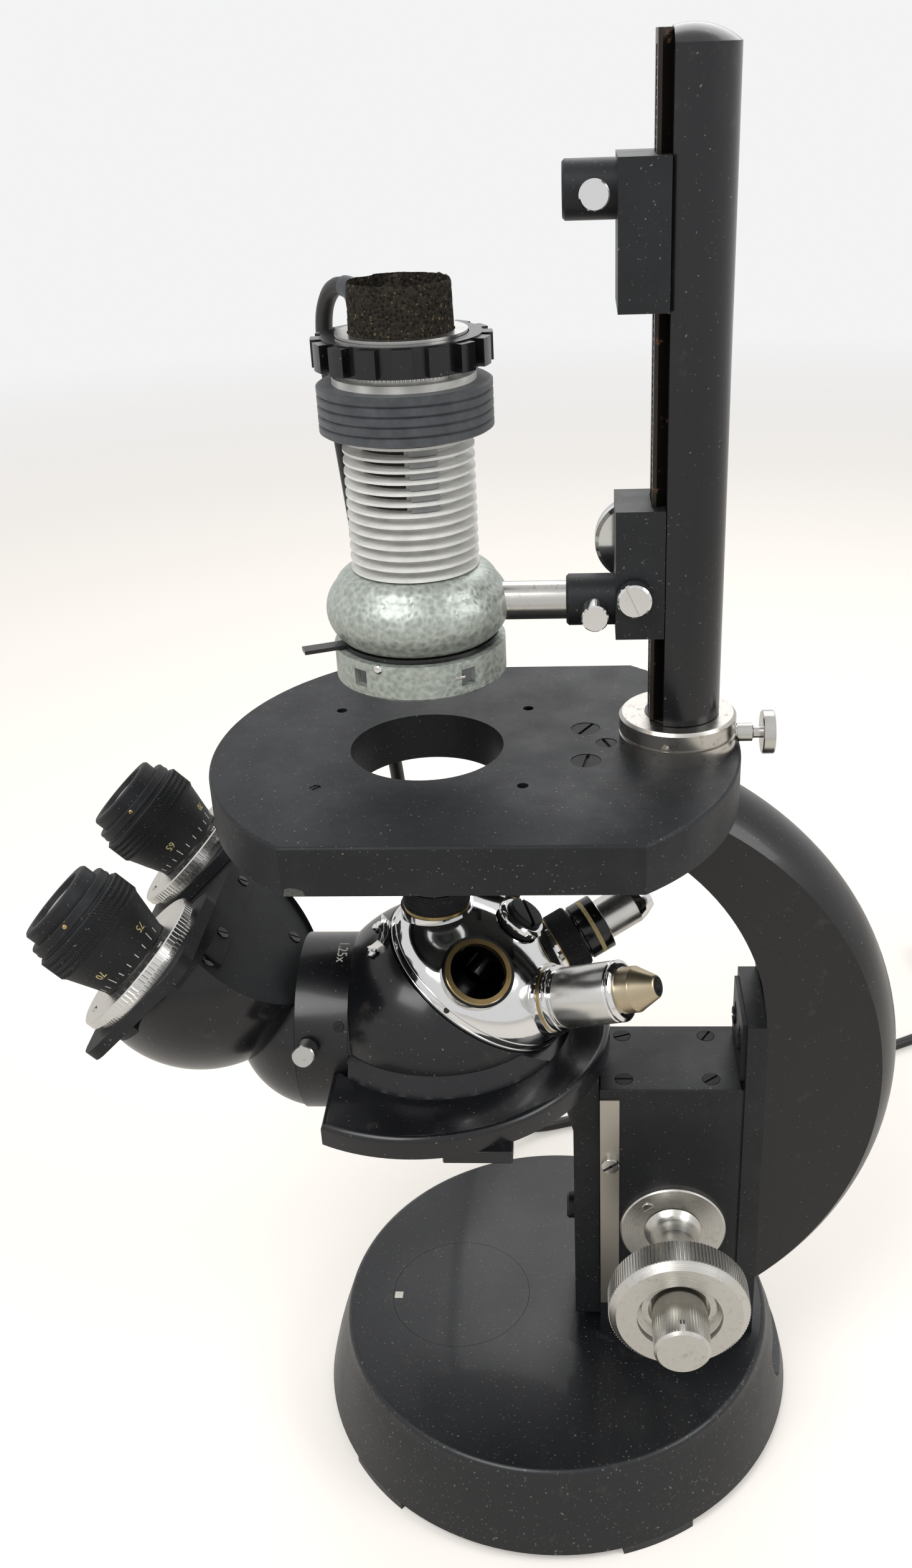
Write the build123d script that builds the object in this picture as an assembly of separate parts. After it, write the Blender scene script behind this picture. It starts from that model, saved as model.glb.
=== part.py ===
from build123d import *
import math
import os

# Inverted microscope with a lamp on a column, in millimetres.
# X runs to the column side, Y away from the user's right hand, Z up.
# The origin is the centre of the foot, on the table.

# General clearances
face_gap = 0.3
shaft_gap = 0.05
screw_sink = 0.2

# Base casting
base_top_r = 85.7
base_foot_r = 95.3
base_height = 37.4
base_wall = 5.0
foot_height = 4.2
foot_count = 5
foot_width_deg = 17.5
foot_start_deg = -65.3
port_cover_r = 28.4
port_cover_thick = 2.0
side_slot_length = 46.0
side_slot_height = 12.0
side_slot_z = 19.0

# Optical axis of the instrument, and the stage
optic_x = -39.5
stage_r = 89.6
stage_x = -23.2
stage_flat_y = 70.5
stage_bottom = 274.4
stage_thick = 16.9
stage_web = 9.0
stage_rim = 7.0
stage_hole_r = 26.1
stage_clip_x = 33.6
stage_clip_y = 30.5
stage_clip_hole_r = 1.9

# Focusing block and its slide
block_x0 = 18.5
block_x1 = 70.7
block_half_y = 19.7
block_top = 159.9
block_cap_thick = 4.3
slide_x0 = 8.5
slide_half_y = 16.5
slide_bottom = 44.6
slide_top = 150.0
tongue_neck_half_y = 6.5
tongue_half_y = 11.0
tongue_depth = 6.0
channel_end_wall = 6.0
gib_width = 7.2
gib_thick = 0.8
gib_bottom = 54.0
knob_x = 46.3
knob_z = 94.5
pinion_teeth = 16
pinion_module = 0.75
pinion_length = 12.0
slide_travel_down = 6.5
slide_travel_up = 6.0

# Focus knobs
coarse_shaft_r = 5.0
fine_shaft_r = 2.5
knob_flange_r = 20.2
knob_flange_thick = 3.0
knob_hub_r = 9.0
coarse_knob_r = 25.3
coarse_knob_thick = 13.0
coarse_knob_y = 53.0
fine_knob_r = 10.0
fine_knob_end_y = 82.0

# Arm and its plate
plate_x0 = 71.6
plate_x1 = 79.0
plate_top = 187.6
arm_centre_x = -5.1
arm_centre_z = 160.8
arm_outer_r = 125.7
arm_bulge_r = 133.7
arm_inner_x = -13.8
arm_inner_z = 184.5
arm_inner_r = 92.0
arm_channel_half_y = 14.5
arm_channel_depth = 9.0

# Column, its clamp ring and rack
column_x = 45.2
column_r = 13.7
column_flat_x = 39.8
column_top = 503.0
column_dome = 5.0
spigot_r = 11.0
spigot_depth = 10.0
ring_r = 19.5
ring_height = 12.1
ring_groove_z = 5.2
rail_x0 = 35.5
rail_half_y = 8.0
rail_neck_half_y = 6.2
rail_top = 506.8
rack_module = 0.8
rack_sink = 0.96
rack_half_y = 3.4
wheel_pinion_teeth = 12

# Carriers on the column
carrier_wrap = 2.6
lower_z0 = 334.0
lower_z1 = 375.5
lower_x0 = 24.2
lower_half_y = 13.0
upper_z0 = 434.0
upper_z1 = 475.6
upper_x0 = 24.6
upper_half_y = 14.9
lower_socket_z = 343.2
upper_socket_z = 466.4
socket_r = 8.3
socket_length = 15.6
socket_depth = 1.5
rod_r = 6.2
wheel_z = 357.5
wheel_r = 13.6
wheel_thick = 14.0

# Lamp
lamp_collar_r = 28.0
lamp_collar_z0 = 319.8
lamp_collar_wall = 2.6
lamp_body_z0 = 333.4
lamp_body_z1 = 356.0
lamp_body_r = 29.7
lamp_bore_r = 16.6
fin_r = 20.5
fin_core_r = 15.5
fin_count = 13
fin_top = 398.5
fin_thick = 1.3
grip_r = 26.9
grip_z0 = 399.8
grip_z1 = 414.5
grip_ribs = 5
white_ring_r = 22.0
white_ring_thick = 2.2
nut_r = 27.4
nut_z0 = 419.0
nut_z1 = 428.1
nut_teeth = 16
lip_r = 20.0
foam_r = 16.1
foam_top = 445.5
lip_top = 429.0
gland_r = 4.2
cord_r = 2.75

# Nosepiece carrier
ball_z = 180.3
ball_r = 44.0
turret_tilt = 36.1
skirt_h = 22.1
skirt_r = 37.4
dome_wall = 3.0
seat_distance = 48.8
seat_count = 5
seat_r = 10.1
seat_ring_r = 11.9
yoke_top = 178.1
yoke_thick = 8.7
yoke_r = 68.5
yoke_x = -45.9
yoke_inner_r = 47.8
yoke_cut_x = -77.0
tube_r = 32.2
tube_z = 177.9
tube_x0 = -90.0
tube_seam_x = -70.0

# Binocular head: places are given as (t, y, e), e along the eyepieces
head_t = 58.4
head_e = 237.6
head_r = 43.9
end_ball_x = -84.4
end_ball_r = 32.5
cover_t = 76.4
cover_r = 39.0
cover_thick = 2.5
slide_plate_e = 247.0
slide_plate_thick = 4.2
carriage_thick = 4.2
eye_t = 65.1
eye_half_spacing = 39.5
eye_cap_e = 295.2
disc_r = 26.0
disc_e = 261.6
sleeve_r = 18.9

# Derived places
stage_top = stage_bottom + stage_thick
tilt = math.radians(turret_tilt)
turret_axis = (math.sin(tilt), 0, math.cos(tilt))
ball_centre = (optic_x, 0, ball_z)
half_root = math.sqrt(0.5)
eye_axis = (-half_root, 0, half_root)
cover_axis = (half_root, 0, half_root)
pinion_r = pinion_teeth * pinion_module / 2
wheel_pinion_r = wheel_pinion_teeth * rack_module / 2
wheel_x = rail_x0 + rack_sink - wheel_pinion_r
yoke_bottom = yoke_top - yoke_thick
block_body_top = block_top - block_cap_thick


def box(x0, x1, y0, y1, z0, z1):
    """A block between two corners."""
    size = (x1 - x0, y1 - y0, z1 - z0)
    middle = ((x0 + x1) / 2, (y0 + y1) / 2, (z0 + z1) / 2)
    return Pos(*middle) * Box(*size)


def turned(profile, at=(0, 0, 0), axis=(0, 0, 1)):
    """A turned piece: (radius, height) corners about an axis through a point."""
    corners = [(radius, 0, height) for radius, height in profile]
    section = make_face(Polyline(*corners, close=True))
    return Plane(at, z_dir=axis) * revolve(section, Axis.Z)


def rod(radius, start, end, at=(0, 0, 0), axis=(0, 0, 1)):
    """A solid rod between two distances along an axis."""
    return turned([(0, start), (radius, start), (radius, end), (0, end)], at, axis)


def pipe(inner, outer, start, end, at=(0, 0, 0), axis=(0, 0, 1)):
    """A pipe between two distances along an axis."""
    corners = [(inner, start), (outer, start), (outer, end), (inner, end)]
    return turned(corners, at, axis)


def ball(centre, radius):
    return Pos(*centre) * Sphere(radius)


def plate_xz(points, y0, y1):
    """A plate cut from an outline in the XZ plane, between two Y places."""
    outline = make_face(Polyline(*[(x, y0, z) for x, z in points], close=True))
    return extrude(outline, amount=y1 - y0, dir=(0, 1, 0))


def dome_arc(radius, z, rise):
    """A round crown from an edge to its top on the axis."""
    full = (radius ** 2 + rise ** 2) / (2 * rise)
    middle = z + rise - full + math.sqrt(full ** 2 - (radius / 2) ** 2)
    return ThreePointArc((radius, 0, z), (radius / 2, 0, middle), (0, 0, z + rise))


def domed(radius, low, edge, rise):
    """A rod whose upper end is a round crown."""
    profile = (
        Line((0, 0, low), (radius, 0, low))
        + Line((radius, 0, low), (radius, 0, edge))
        + dome_arc(radius, edge, rise)
        + Line((0, 0, edge + rise), (0, 0, low))
    )
    return revolve(make_face(profile), Axis.Z)


def along(start, direction, distance):
    """The point at a distance from another along a direction."""
    return tuple(a + b * distance for a, b in zip(start, direction))


def head_point(t, y, e):
    """A point in the head's own directions, as a point of the whole frame."""
    return (half_root * (t - e), y, half_root * (t + e))


def seat_axis(place):
    """The direction of one of the turret's seats, counted from the one in use."""
    turn = math.radians(360 / seat_count * place)
    ax, _, az = turret_axis
    cos, sin = math.cos(turn), math.sin(turn)
    dot = az * (1 - cos)
    return (ax * dot, -ax * sin, cos + az * dot)


# Stand

def make_base():
    shoulder_r = base_top_r + 2.0
    profile = (
        Line((0, 0, base_height), (base_top_r - 1.5, 0, base_height))
        + ThreePointArc(
            (base_top_r - 1.5, 0, base_height),
            (base_top_r + 0.2, 0, base_height - 0.8),
            (base_top_r + 0.9, 0, base_height - 2.6),
        )
        + ThreePointArc(
            (base_top_r + 0.9, 0, base_height - 2.6),
            (shoulder_r + 3.9, 0, base_height * 0.52),
            (base_foot_r, 0, foot_height),
        )
        + Line((base_foot_r, 0, foot_height), (0, 0, foot_height))
        + Line((0, 0, foot_height), (0, 0, base_height))
    )
    body = revolve(make_face(profile), Axis.Z)
    inside_r = base_top_r - base_wall
    inside_top = base_height - base_wall - 1.0
    body -= rod(inside_r, foot_height - 1, inside_top)
    body += box(block_x0 - 4, plate_x1, -block_half_y - 3, block_half_y + 3,
                foot_height, base_height - 1)
    foot_outer = base_foot_r - 0.4
    ring = pipe(base_foot_r - 11.0, foot_outer, 0, foot_height + 1.0)
    for number in range(foot_count):
        turn = foot_start_deg + number * 360 / foot_count
        half = math.radians(foot_width_deg / 2)
        reach = base_foot_r * 1.3
        wedge = make_face(Polyline(
            (0, 0), (reach, -reach * math.tan(half)),
            (reach, reach * math.tan(half)), close=True))
        body += Rot(0, 0, turn) * (ring & extrude(wedge, amount=foot_height + 1.0))
    body -= rod(port_cover_r + 0.15, base_height - port_cover_thick,
                base_height + 1, (optic_x, 0, 0))
    slot = SlotOverall(side_slot_length, side_slot_height)
    cutter = extrude(Plane((base_top_r - 30, 0, side_slot_z), x_dir=(0, 1, 0),
                           z_dir=(1, 0, 0)) * slot, amount=50)
    return body - cutter


def make_port_cover():
    low = base_height - port_cover_thick
    return rod(port_cover_r, low, base_height, (optic_x, 0, 0))


def make_block():
    body = box(block_x0, block_x1, -block_half_y, block_half_y,
               base_height, block_body_top)
    low = base_height + channel_end_wall - 1.5
    high = block_body_top
    neck = tongue_neck_half_y + face_gap
    wide = tongue_half_y + face_gap
    inner_x = block_x0 + tongue_depth - face_gap
    body -= box(block_x0 - 1, inner_x + 1, -neck, neck, low, high + 1)
    far_x = knob_x + pinion_r + 2.5
    body -= box(inner_x, far_x, -wide, wide, low, high + 1)
    body -= rod(coarse_shaft_r + shaft_gap, -block_half_y - 1, block_half_y + 1,
                (knob_x, 0, knob_z), (0, 1, 0))
    return body


def make_block_cap():
    body = box(block_x0, block_x1, -block_half_y, block_half_y,
               block_body_top, block_top)
    body = fillet(body.edges().group_by(Axis.Z)[-1], 0.6)
    for x, y in cap_screw_places():
        body -= rod(3.4, block_top - 1.6, block_top + 1, (x, y, 0))
    return body


def cap_screw_places():
    left = block_x0 + 9.0
    right = block_x1 - 11.0
    side = block_half_y - 6.5
    return [(left, -side), (left, side), (right, -side), (right, side)]


def slotted_screw(radius, start, end, at, axis, slot_turn=0, slot_width=0.9):
    """A flat screw head with a slot cut across its outer face."""
    head = rod(radius, start, end, (0, 0, 0), (0, 0, 1))
    cut = box(-radius - 1, radius + 1, -slot_width / 2, slot_width / 2,
              end - 0.9, end + 1)
    return Plane(at, z_dir=axis) * (head - Rot(0, 0, slot_turn) * cut)


def make_block_screws():
    """Four screws of the block's cap and the one of its gib."""
    low = block_top - 1.6
    screws = [slotted_screw(3.2, low, block_top + 0.1, (x, y, 0), (0, 0, 1), 20 * n)
              for n, (x, y) in enumerate(cap_screw_places())]
    place = (block_x0 + 3.8, -block_half_y - gib_thick, 125.7)
    return screws + [slotted_screw(3.3, 0, 1.8, place, (0, -1, 0), 35)]


def make_gib():
    body = box(block_x0, block_x0 + gib_width, -block_half_y - gib_thick,
               -block_half_y, gib_bottom, block_body_top)
    return body


def make_arm_plate():
    """The upright plate, with a narrower raised pad that bears on the block."""
    body = box(plate_x0, plate_x1, -block_half_y, block_half_y,
               base_height, plate_top)
    inset = block_half_y - 1.2
    return body + box(block_x1, plate_x0 + 0.5, -inset, inset, base_height, block_top - 1.0)


def make_slot_plate():
    """The adjusting plate with two slots above the block."""
    thick = 1.6
    half = block_half_y - 4.0
    low = block_top + 1.2
    high = plate_top - 1.5
    body = box(plate_x0 - thick, plate_x0, -half, half, low, high)
    for y in (-half / 2, half / 2):
        slot = SlotOverall(12.0, 4.6, rotation=90)
        face = Plane((plate_x0 - thick - 1, y, (low + high) / 2),
                     x_dir=(0, 1, 0), z_dir=(1, 0, 0)) * slot
        body -= extrude(face, amount=thick + 2)
    return body


def make_arm():
    """The crescent casting: a bulging rim section turned about its own centre."""
    centre = (arm_centre_x, 0, arm_centre_z)
    half = block_half_y
    inner = 40.0
    section = (
        Line((inner, 0, -half), (arm_outer_r, 0, -half))
        + ThreePointArc((arm_outer_r, 0, -half), (arm_bulge_r, 0, 0),
                        (arm_outer_r, 0, half))
        + Line((arm_outer_r, 0, half), (inner, 0, half))
        + Line((inner, 0, half), (inner, 0, -half))
    )
    wheel = Plane(centre, z_dir=(0, 1, 0)) * revolve(make_face(section), Axis.Z)
    reach = arm_bulge_r * 2
    keep = box(-reach / 2, reach, -half, half, 0, stage_bottom)
    body = wheel & keep
    body -= rod(arm_inner_r, -half - 1, half + 1,
                (arm_inner_x, 0, arm_inner_z), (0, 1, 0))
    body -= box(-reach, plate_x1, -half - 1, half + 1, 0, plate_top)
    body -= box(-reach, arm_inner_x + 20, -half - 1, half + 1, 0, stage_bottom + 1)
    bottom_r = arm_inner_r + arm_channel_depth
    groove = (
        ThreePointArc((arm_inner_r - 6, 0, -arm_channel_half_y), (bottom_r, 0, 0),
                      (arm_inner_r - 6, 0, arm_channel_half_y))
        + Line((arm_inner_r - 6, 0, arm_channel_half_y),
               (arm_inner_r - 6, 0, -arm_channel_half_y))
    )
    ring = revolve(make_face(groove), Axis.Z)
    ring = Plane((arm_inner_x, 0, arm_inner_z), z_dir=(0, 1, 0)) * ring
    limit = box(arm_inner_x, reach, -half, half, plate_top + 4, stage_bottom - 14)
    return body - (ring & limit)


def make_stage():
    disc = rod(stage_r, stage_bottom, stage_top, (stage_x, 0, 0))
    reach = stage_r + 5
    disc = disc & box(stage_x - reach, stage_x + reach, -stage_flat_y, stage_flat_y,
                      stage_bottom, stage_top)
    top_edges = disc.edges().group_by(Axis.Z)[-1]
    disc = fillet(top_edges, 1.2)
    recess = pipe(stage_hole_r + 9, stage_r - stage_rim, stage_bottom - 1,
                  stage_top - stage_web, (stage_x, 0, 0))
    hub = rod(stage_hole_r + 9, stage_bottom - 2, stage_top, (optic_x, 0, 0))
    inner_flat = stage_flat_y - stage_rim
    recess = recess & box(stage_x - reach, arm_inner_x + 12, -inner_flat,
                          inner_flat, stage_bottom - 1, stage_top)
    disc -= recess - hub
    disc -= rod(stage_hole_r, stage_bottom - 1, stage_top + 1, (optic_x, 0, 0))
    for sx in (-1, 1):
        for sy in (-1, 1):
            place = (optic_x + sx * stage_clip_x, sy * stage_clip_y, 0)
            disc -= rod(stage_clip_hole_r, stage_top - 6, stage_top + 1, place)
    disc -= rod(spigot_r + shaft_gap, stage_top - spigot_depth, stage_top + 1,
                (column_x, 0, 0))
    for x, y, radius in stage_screw_places():
        disc -= rod(radius + 0.1, stage_top - 2.5, stage_top + 1, (x, y, 0))
    return disc


def stage_screw_places():
    return [(14.5, -12.6, 5.0), (14.5, 12.6, 5.0), (21.5, 1.0, 3.6)]


def make_stage_screws():
    """The sunk screws of the stage, and the one left in its clip holes."""
    low = stage_top - 2.5
    turns = (80, 60, 110)
    screws = [slotted_screw(radius, low, stage_top - screw_sink, (x, y, 0),
                            (0, 0, 1), turn, 1.2)
              for (x, y, radius), turn in zip(stage_screw_places(), turns)]
    place = (optic_x - stage_clip_x, -stage_clip_y, 0)
    clip = slotted_screw(stage_clip_hole_r - shaft_gap, stage_top - 6,
                         stage_top - 0.3, place, (0, 0, 1), 50, 0.7)
    return screws + [clip]


def make_column_ring():
    groove = 0.7
    low = stage_top
    inner = spigot_r + shaft_gap
    profile = [(inner, low), (ring_r, low), (ring_r, low + ring_groove_z),
               (ring_r - groove, low + ring_groove_z + 0.3),
               (ring_r - groove, low + ring_groove_z + 0.9),
               (ring_r, low + ring_groove_z + 1.2),
               (ring_r, low + ring_height - 1.0),
               (ring_r - 1.0, low + ring_height), (inner, low + ring_height)]
    body = turned(profile, (column_x, 0, 0))
    body -= rod(ring_screw_r + shaft_gap, 0, 30, ring_screw_start(), (1, 0, 0))
    hole_z = low + 7.2
    angle = math.radians(-105)
    radial = (math.cos(angle), math.sin(angle), 0)
    return body - rod(1.3, ring_r - 2.5, ring_r + 1, (column_x, 0, hole_z), radial)


ring_screw_r = 2.4
ring_screw_z = 3.9


def ring_screw_start():
    return (column_x + spigot_r + 0.4, 0, stage_top + ring_screw_z)


def make_ring_screw():
    start = ring_screw_start()
    face = column_x + ring_r - start[0]
    profile = [(0, 0.2), (ring_screw_r - 0.6, 0.2), (ring_screw_r, 1.0),
               (ring_screw_r, face + 0.4), (3.1, face + 0.4), (3.1, face + 5.4),
               (2.0, face + 5.9), (2.0, face + 8.6), (7.0, face + 8.6),
               (7.4, face + 9.0), (7.4, face + 12.4), (7.0, face + 12.8),
               (0, face + 12.8)]
    return turned(profile, start, (1, 0, 0))


# Column and its rack

def make_column():
    low = stage_top + ring_height + face_gap
    body = Pos(column_x, 0, 0) * domed(column_r, low, column_top, column_dome)
    body -= box(column_x - column_r - 1, column_flat_x, -column_r - 1, column_r + 1,
                low - 1, column_top + column_dome + 1)
    spigot = rod(spigot_r, stage_top - spigot_depth + face_gap, low,
                 (column_x, 0, 0))
    return body + spigot


def rack_teeth(low, high, x_pitch, module, half_y, facing):
    """Rack teeth as one comb: facing is +1 or -1, the way that the teeth point."""
    pitch = math.pi * module
    count = int((high - low) / pitch)
    tip = x_pitch + facing * module
    root = x_pitch - facing * module * 1.25
    back = root - facing * 1.0
    points = [(back, low), (root, low)]
    for number in range(count):
        z = low + (number + 0.5) * pitch
        points += [(root, z - pitch * 0.36), (tip, z - pitch * 0.14),
                   (tip, z + pitch * 0.14), (root, z + pitch * 0.36)]
    points += [(root, high), (back, high)]
    return plate_xz(points, -half_y, half_y)


def gear(teeth, module, length, at, turn=0.0, bore=0.0):
    """A straight-toothed pinion about an axis along Y."""
    pitch_r = teeth * module / 2
    tip = pitch_r + module * 0.95
    root = pitch_r - module * 1.2
    step = 2 * math.pi / teeth
    points = []
    for number in range(teeth):
        middle = number * step + turn
        for radius, part in ((root, -0.34), (tip, -0.11), (tip, 0.11), (root, 0.34)):
            angle = middle + part * step
            points.append((radius * math.cos(angle), radius * math.sin(angle)))
    outline = make_face(Polyline(*points, close=True))
    body = extrude(outline, amount=length / 2, both=True)
    if bore:
        body -= Cylinder(bore, length + 2)
    return Plane(at, x_dir=(1, 0, 0), z_dir=(0, -1, 0)) * body


def make_rail():
    """The dovetail rail with its rack, screwed to the column's flat."""
    low = stage_top + ring_height + face_gap
    neck = rail_neck_half_y
    wide = rail_half_y
    outline = Polyline((column_flat_x, -neck), (rail_x0 + 1.2, -wide),
                       (rail_x0, -wide), (rail_x0, wide), (rail_x0 + 1.2, wide),
                       (column_flat_x, neck), close=True)
    body = extrude(Pos(0, 0, low) * make_face(outline), amount=rail_top - low)
    body -= box(rail_x0 - 1, rail_x0 + 2.4, -rack_half_y, rack_half_y,
                low - 1, rail_top - 4)
    pitch = math.pi * rack_module
    start = wheel_z - pitch * 20
    comb = rack_teeth(start, rail_top - 6, rail_x0 + rack_sink, rack_module,
                      rack_half_y, -1)
    return body + comb


def carrier_body(x0, half_y, z0, z1, socket_z):
    """A slider on the column's rail, with a socket for a rod."""
    back = column_flat_x - face_gap
    body = box(x0, back, -half_y, half_y, z0, z1)
    gap = 0.15
    neck = rail_neck_half_y + gap
    wide = rail_half_y + gap
    outline = Polyline((column_flat_x + 1, -neck), (rail_x0 + 1.2, -wide),
                       (rail_x0 - gap, -wide), (rail_x0 - gap, wide),
                       (rail_x0 + 1.2, wide), (column_flat_x + 1, neck), close=True)
    body -= extrude(Pos(0, 0, z0 - 1) * make_face(outline), amount=z1 - z0 + 2)
    socket = turned([(rod_r + shaft_gap, 0), (socket_r, 0), (socket_r, socket_length - 0.8),
                     (socket_r - 0.8, socket_length), (rod_r + shaft_gap, socket_length)],
                    (x0, 0, socket_z), (-1, 0, 0))
    body += socket
    return body - rod(rod_r + shaft_gap, -socket_depth, socket_length + 1,
                      (x0, 0, socket_z), (-1, 0, 0))


def make_lower_carrier():
    body = carrier_body(lower_x0, lower_half_y, lower_z0, lower_z1, lower_socket_z)
    well_r = wheel_pinion_r + rack_module + 0.5
    body -= rod(well_r, -rack_half_y - 0.3, rack_half_y + 0.3,
                (wheel_x, 0, wheel_z), (0, 1, 0))
    body -= rod(wheel_shaft_r + shaft_gap, 0, lower_half_y + 1,
                (wheel_x, 0, wheel_z), (0, 1, 0))
    body -= rod(clamp_screw_r + shaft_gap, 4.0, lower_half_y + 1,
                clamp_screw_place(), (0, -1, 0))
    body -= rod(socket_screw_r + shaft_gap, rod_r + 0.4, socket_r + 1,
                socket_screw_place(lower_x0, lower_socket_z), (0, -1, 0))
    return body


def make_upper_carrier():
    body = carrier_body(upper_x0, upper_half_y, upper_z0, upper_z1, upper_socket_z)
    return body - rod(socket_screw_r + shaft_gap, rod_r + 0.4, socket_r + 1,
                      socket_screw_place(upper_x0, upper_socket_z), (0, -1, 0))


wheel_shaft_r = 3.0
clamp_screw_r = 3.0
socket_screw_r = 2.2


def clamp_screw_place():
    return (29.9, 0, lower_socket_z + 5.6)


def socket_screw_place(x0, z):
    return (x0 - socket_length * 0.42, 0, z)


def make_drive_wheel():
    """The rack wheel: pinion, shaft and domed knob behind the lower carrier."""
    start = column_r + face_gap
    knob = [(0, start), (wheel_r - 1.2, start), (wheel_r, start + 1.2),
            (wheel_r, start + wheel_thick * 0.5), (wheel_r - 2.2, start + wheel_thick * 0.85),
            (wheel_r - 6.0, start + wheel_thick), (0, start + wheel_thick)]
    body = turned(knob, (wheel_x, 0, wheel_z), (0, 1, 0))
    body += rod(wheel_shaft_r, 0, start + 0.5, (wheel_x, 0, wheel_z), (0, 1, 0))
    return body + gear(wheel_pinion_teeth, rack_module, 2 * rack_half_y - 0.6,
                       (wheel_x, 0, wheel_z))


def make_clamp_screw():
    """The slotted clamp knob on the front of the lower carrier."""
    face = lower_half_y
    profile = [(0, 4.3), (clamp_screw_r, 4.3), (clamp_screw_r, face + 0.4), (4.4, face + 0.4),
               (4.4, face + 1.6), (5.4, face + 1.6), (5.4, face + 6.0),
               (4.8, face + 6.6), (0, face + 6.6)]
    head = turned(profile)
    head -= box(-6, 6, -0.7, 0.7, face + 5.0, face + 8)
    return Plane(clamp_screw_place(), z_dir=(0, -1, 0)) * (Rot(0, 0, 25) * head)


def make_socket_screw(x0, z):
    """The small thumbscrew in the front of a socket."""
    start = rod_r + 0.5
    profile = [(0, start), (socket_screw_r, start), (socket_screw_r, socket_r + 3.0),
               (4.0, socket_r + 3.0), (4.3, socket_r + 3.4), (4.3, socket_r + 10.0),
               (3.9, socket_r + 10.5), (0, socket_r + 10.5)]
    return turned(profile, socket_screw_place(x0, z), (0, -1, 0))


# Lamp

def make_lamp_rod():
    start = optic_x + lamp_body_r - 3.0
    end = lower_x0 + socket_depth - face_gap
    return rod(rod_r, start - optic_x, end - optic_x, (optic_x, 0, lower_socket_z), (1, 0, 0))


def make_lamp_body():
    """The rounded cast ring that carries the lamp."""
    mid = (lamp_body_z0 + lamp_body_z1) / 2
    profile = (
        Line((lamp_bore_r, 0, lamp_body_z0), (lamp_body_r - 5, 0, lamp_body_z0))
        + ThreePointArc((lamp_body_r - 5, 0, lamp_body_z0), (lamp_body_r, 0, mid - 2),
                        (lamp_body_r - 3.4, 0, lamp_body_z1 - 5))
        + ThreePointArc((lamp_body_r - 3.4, 0, lamp_body_z1 - 5),
                        (lamp_body_r - 6.2, 0, lamp_body_z1 - 1.4),
                        (lamp_body_r - 9.6, 0, lamp_body_z1))
        + Line((lamp_body_r - 9.6, 0, lamp_body_z1), (lamp_bore_r, 0, lamp_body_z1))
        + Line((lamp_bore_r, 0, lamp_body_z1), (lamp_bore_r, 0, lamp_body_z0))
    )
    body = Pos(optic_x, 0, 0) * revolve(make_face(profile), Axis.Z)
    body += lamp_collar()
    return body - rod(rod_r, lamp_body_r - 3.0, lamp_body_r + 20,
                      (optic_x, 0, lower_socket_z), (1, 0, 0))


def lamp_collar():
    """The collar below the cast ring, with its windows and the lever's groove."""
    top = lamp_body_z0
    inner = lamp_collar_r - lamp_collar_wall
    profile = [(inner, lamp_collar_z0), (lamp_collar_r - 0.8, lamp_collar_z0),
               (lamp_collar_r, lamp_collar_z0 + 0.8), (lamp_collar_r, top - lever_gap),
               (lamp_collar_r - 5.0, top - lever_gap), (lamp_collar_r - 5.0, top),
               (lamp_bore_r, top), (lamp_bore_r, top - 3.4), (inner, top - 3.4)]
    body = turned(profile, (optic_x, 0, 0))
    for turn in (-128, -52, 20, 160):
        window = box(inner - 2, lamp_collar_r + 2, -2.6, 2.6,
                     lamp_collar_z0 + 3.4, lamp_collar_z0 + 9.0)
        body -= Pos(optic_x, 0, 0) * (Rot(0, 0, turn) * window)
    return body


lever_gap = 1.9
lever_thick = 1.3


def make_lever():
    """The flat diaphragm lever between collar and cast ring."""
    low = lamp_body_z0 - lever_gap + face_gap
    inner = lamp_collar_r - 5.0 + face_gap
    ring = pipe(inner, inner + 2.5, low, low + lever_thick, (optic_x, 0, 0))
    strip = box(inner + 1, lamp_collar_r + 11.0, -2.4, 2.4, low, low + lever_thick)
    return ring + Pos(optic_x, 0, 0) * (Rot(0, 0, 202) * strip)


def make_condenser_lens():
    low = lamp_body_z0 - 3.4
    return Pos(optic_x, 0, 0) * domed(lamp_bore_r - 0.2, low, low + 2.0, 7.5)


def make_fins():
    """The white finned lamp house: one turned piece with its cooling fins."""
    low = lamp_body_z0 + 8.0
    first = lamp_body_z1 + 0.3
    pitch = (fin_top - fin_thick - first) / (fin_count - 1)
    core = fin_core_r
    inner = fin_core_r - 2.2
    points = [(inner, low), (lamp_bore_r - 0.1, low), (lamp_bore_r - 0.1, lamp_body_z1 - 1),
              (core, lamp_body_z1 - 0.5)]
    for number in range(fin_count):
        z = first + number * pitch
        points += [(core, z), (fin_r, z + 0.25), (fin_r, z + fin_thick - 0.25),
                   (core, z + fin_thick)]
    points += [(core, grip_z1), (white_ring_r, grip_z1),
               (white_ring_r, grip_z1 + white_ring_thick),
               (inner, grip_z1 + white_ring_thick)]
    return turned(points, (optic_x, 0, 0))


def make_grip():
    """The ribbed rubber grip."""
    pitch = (grip_z1 - grip_z0) / grip_ribs
    points = [(fin_core_r + 0.02, grip_z0)]
    for number in range(grip_ribs):
        z = grip_z0 + number * pitch
        points += [(grip_r - 0.9, z + 0.02), (grip_r, z + 0.6), (grip_r, z + pitch - 0.6),
                   (grip_r - 0.9, z + pitch - 0.02)]
    points += [(fin_core_r + 0.02, grip_z1)]
    return turned(points, (optic_x, 0, 0))


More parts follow.
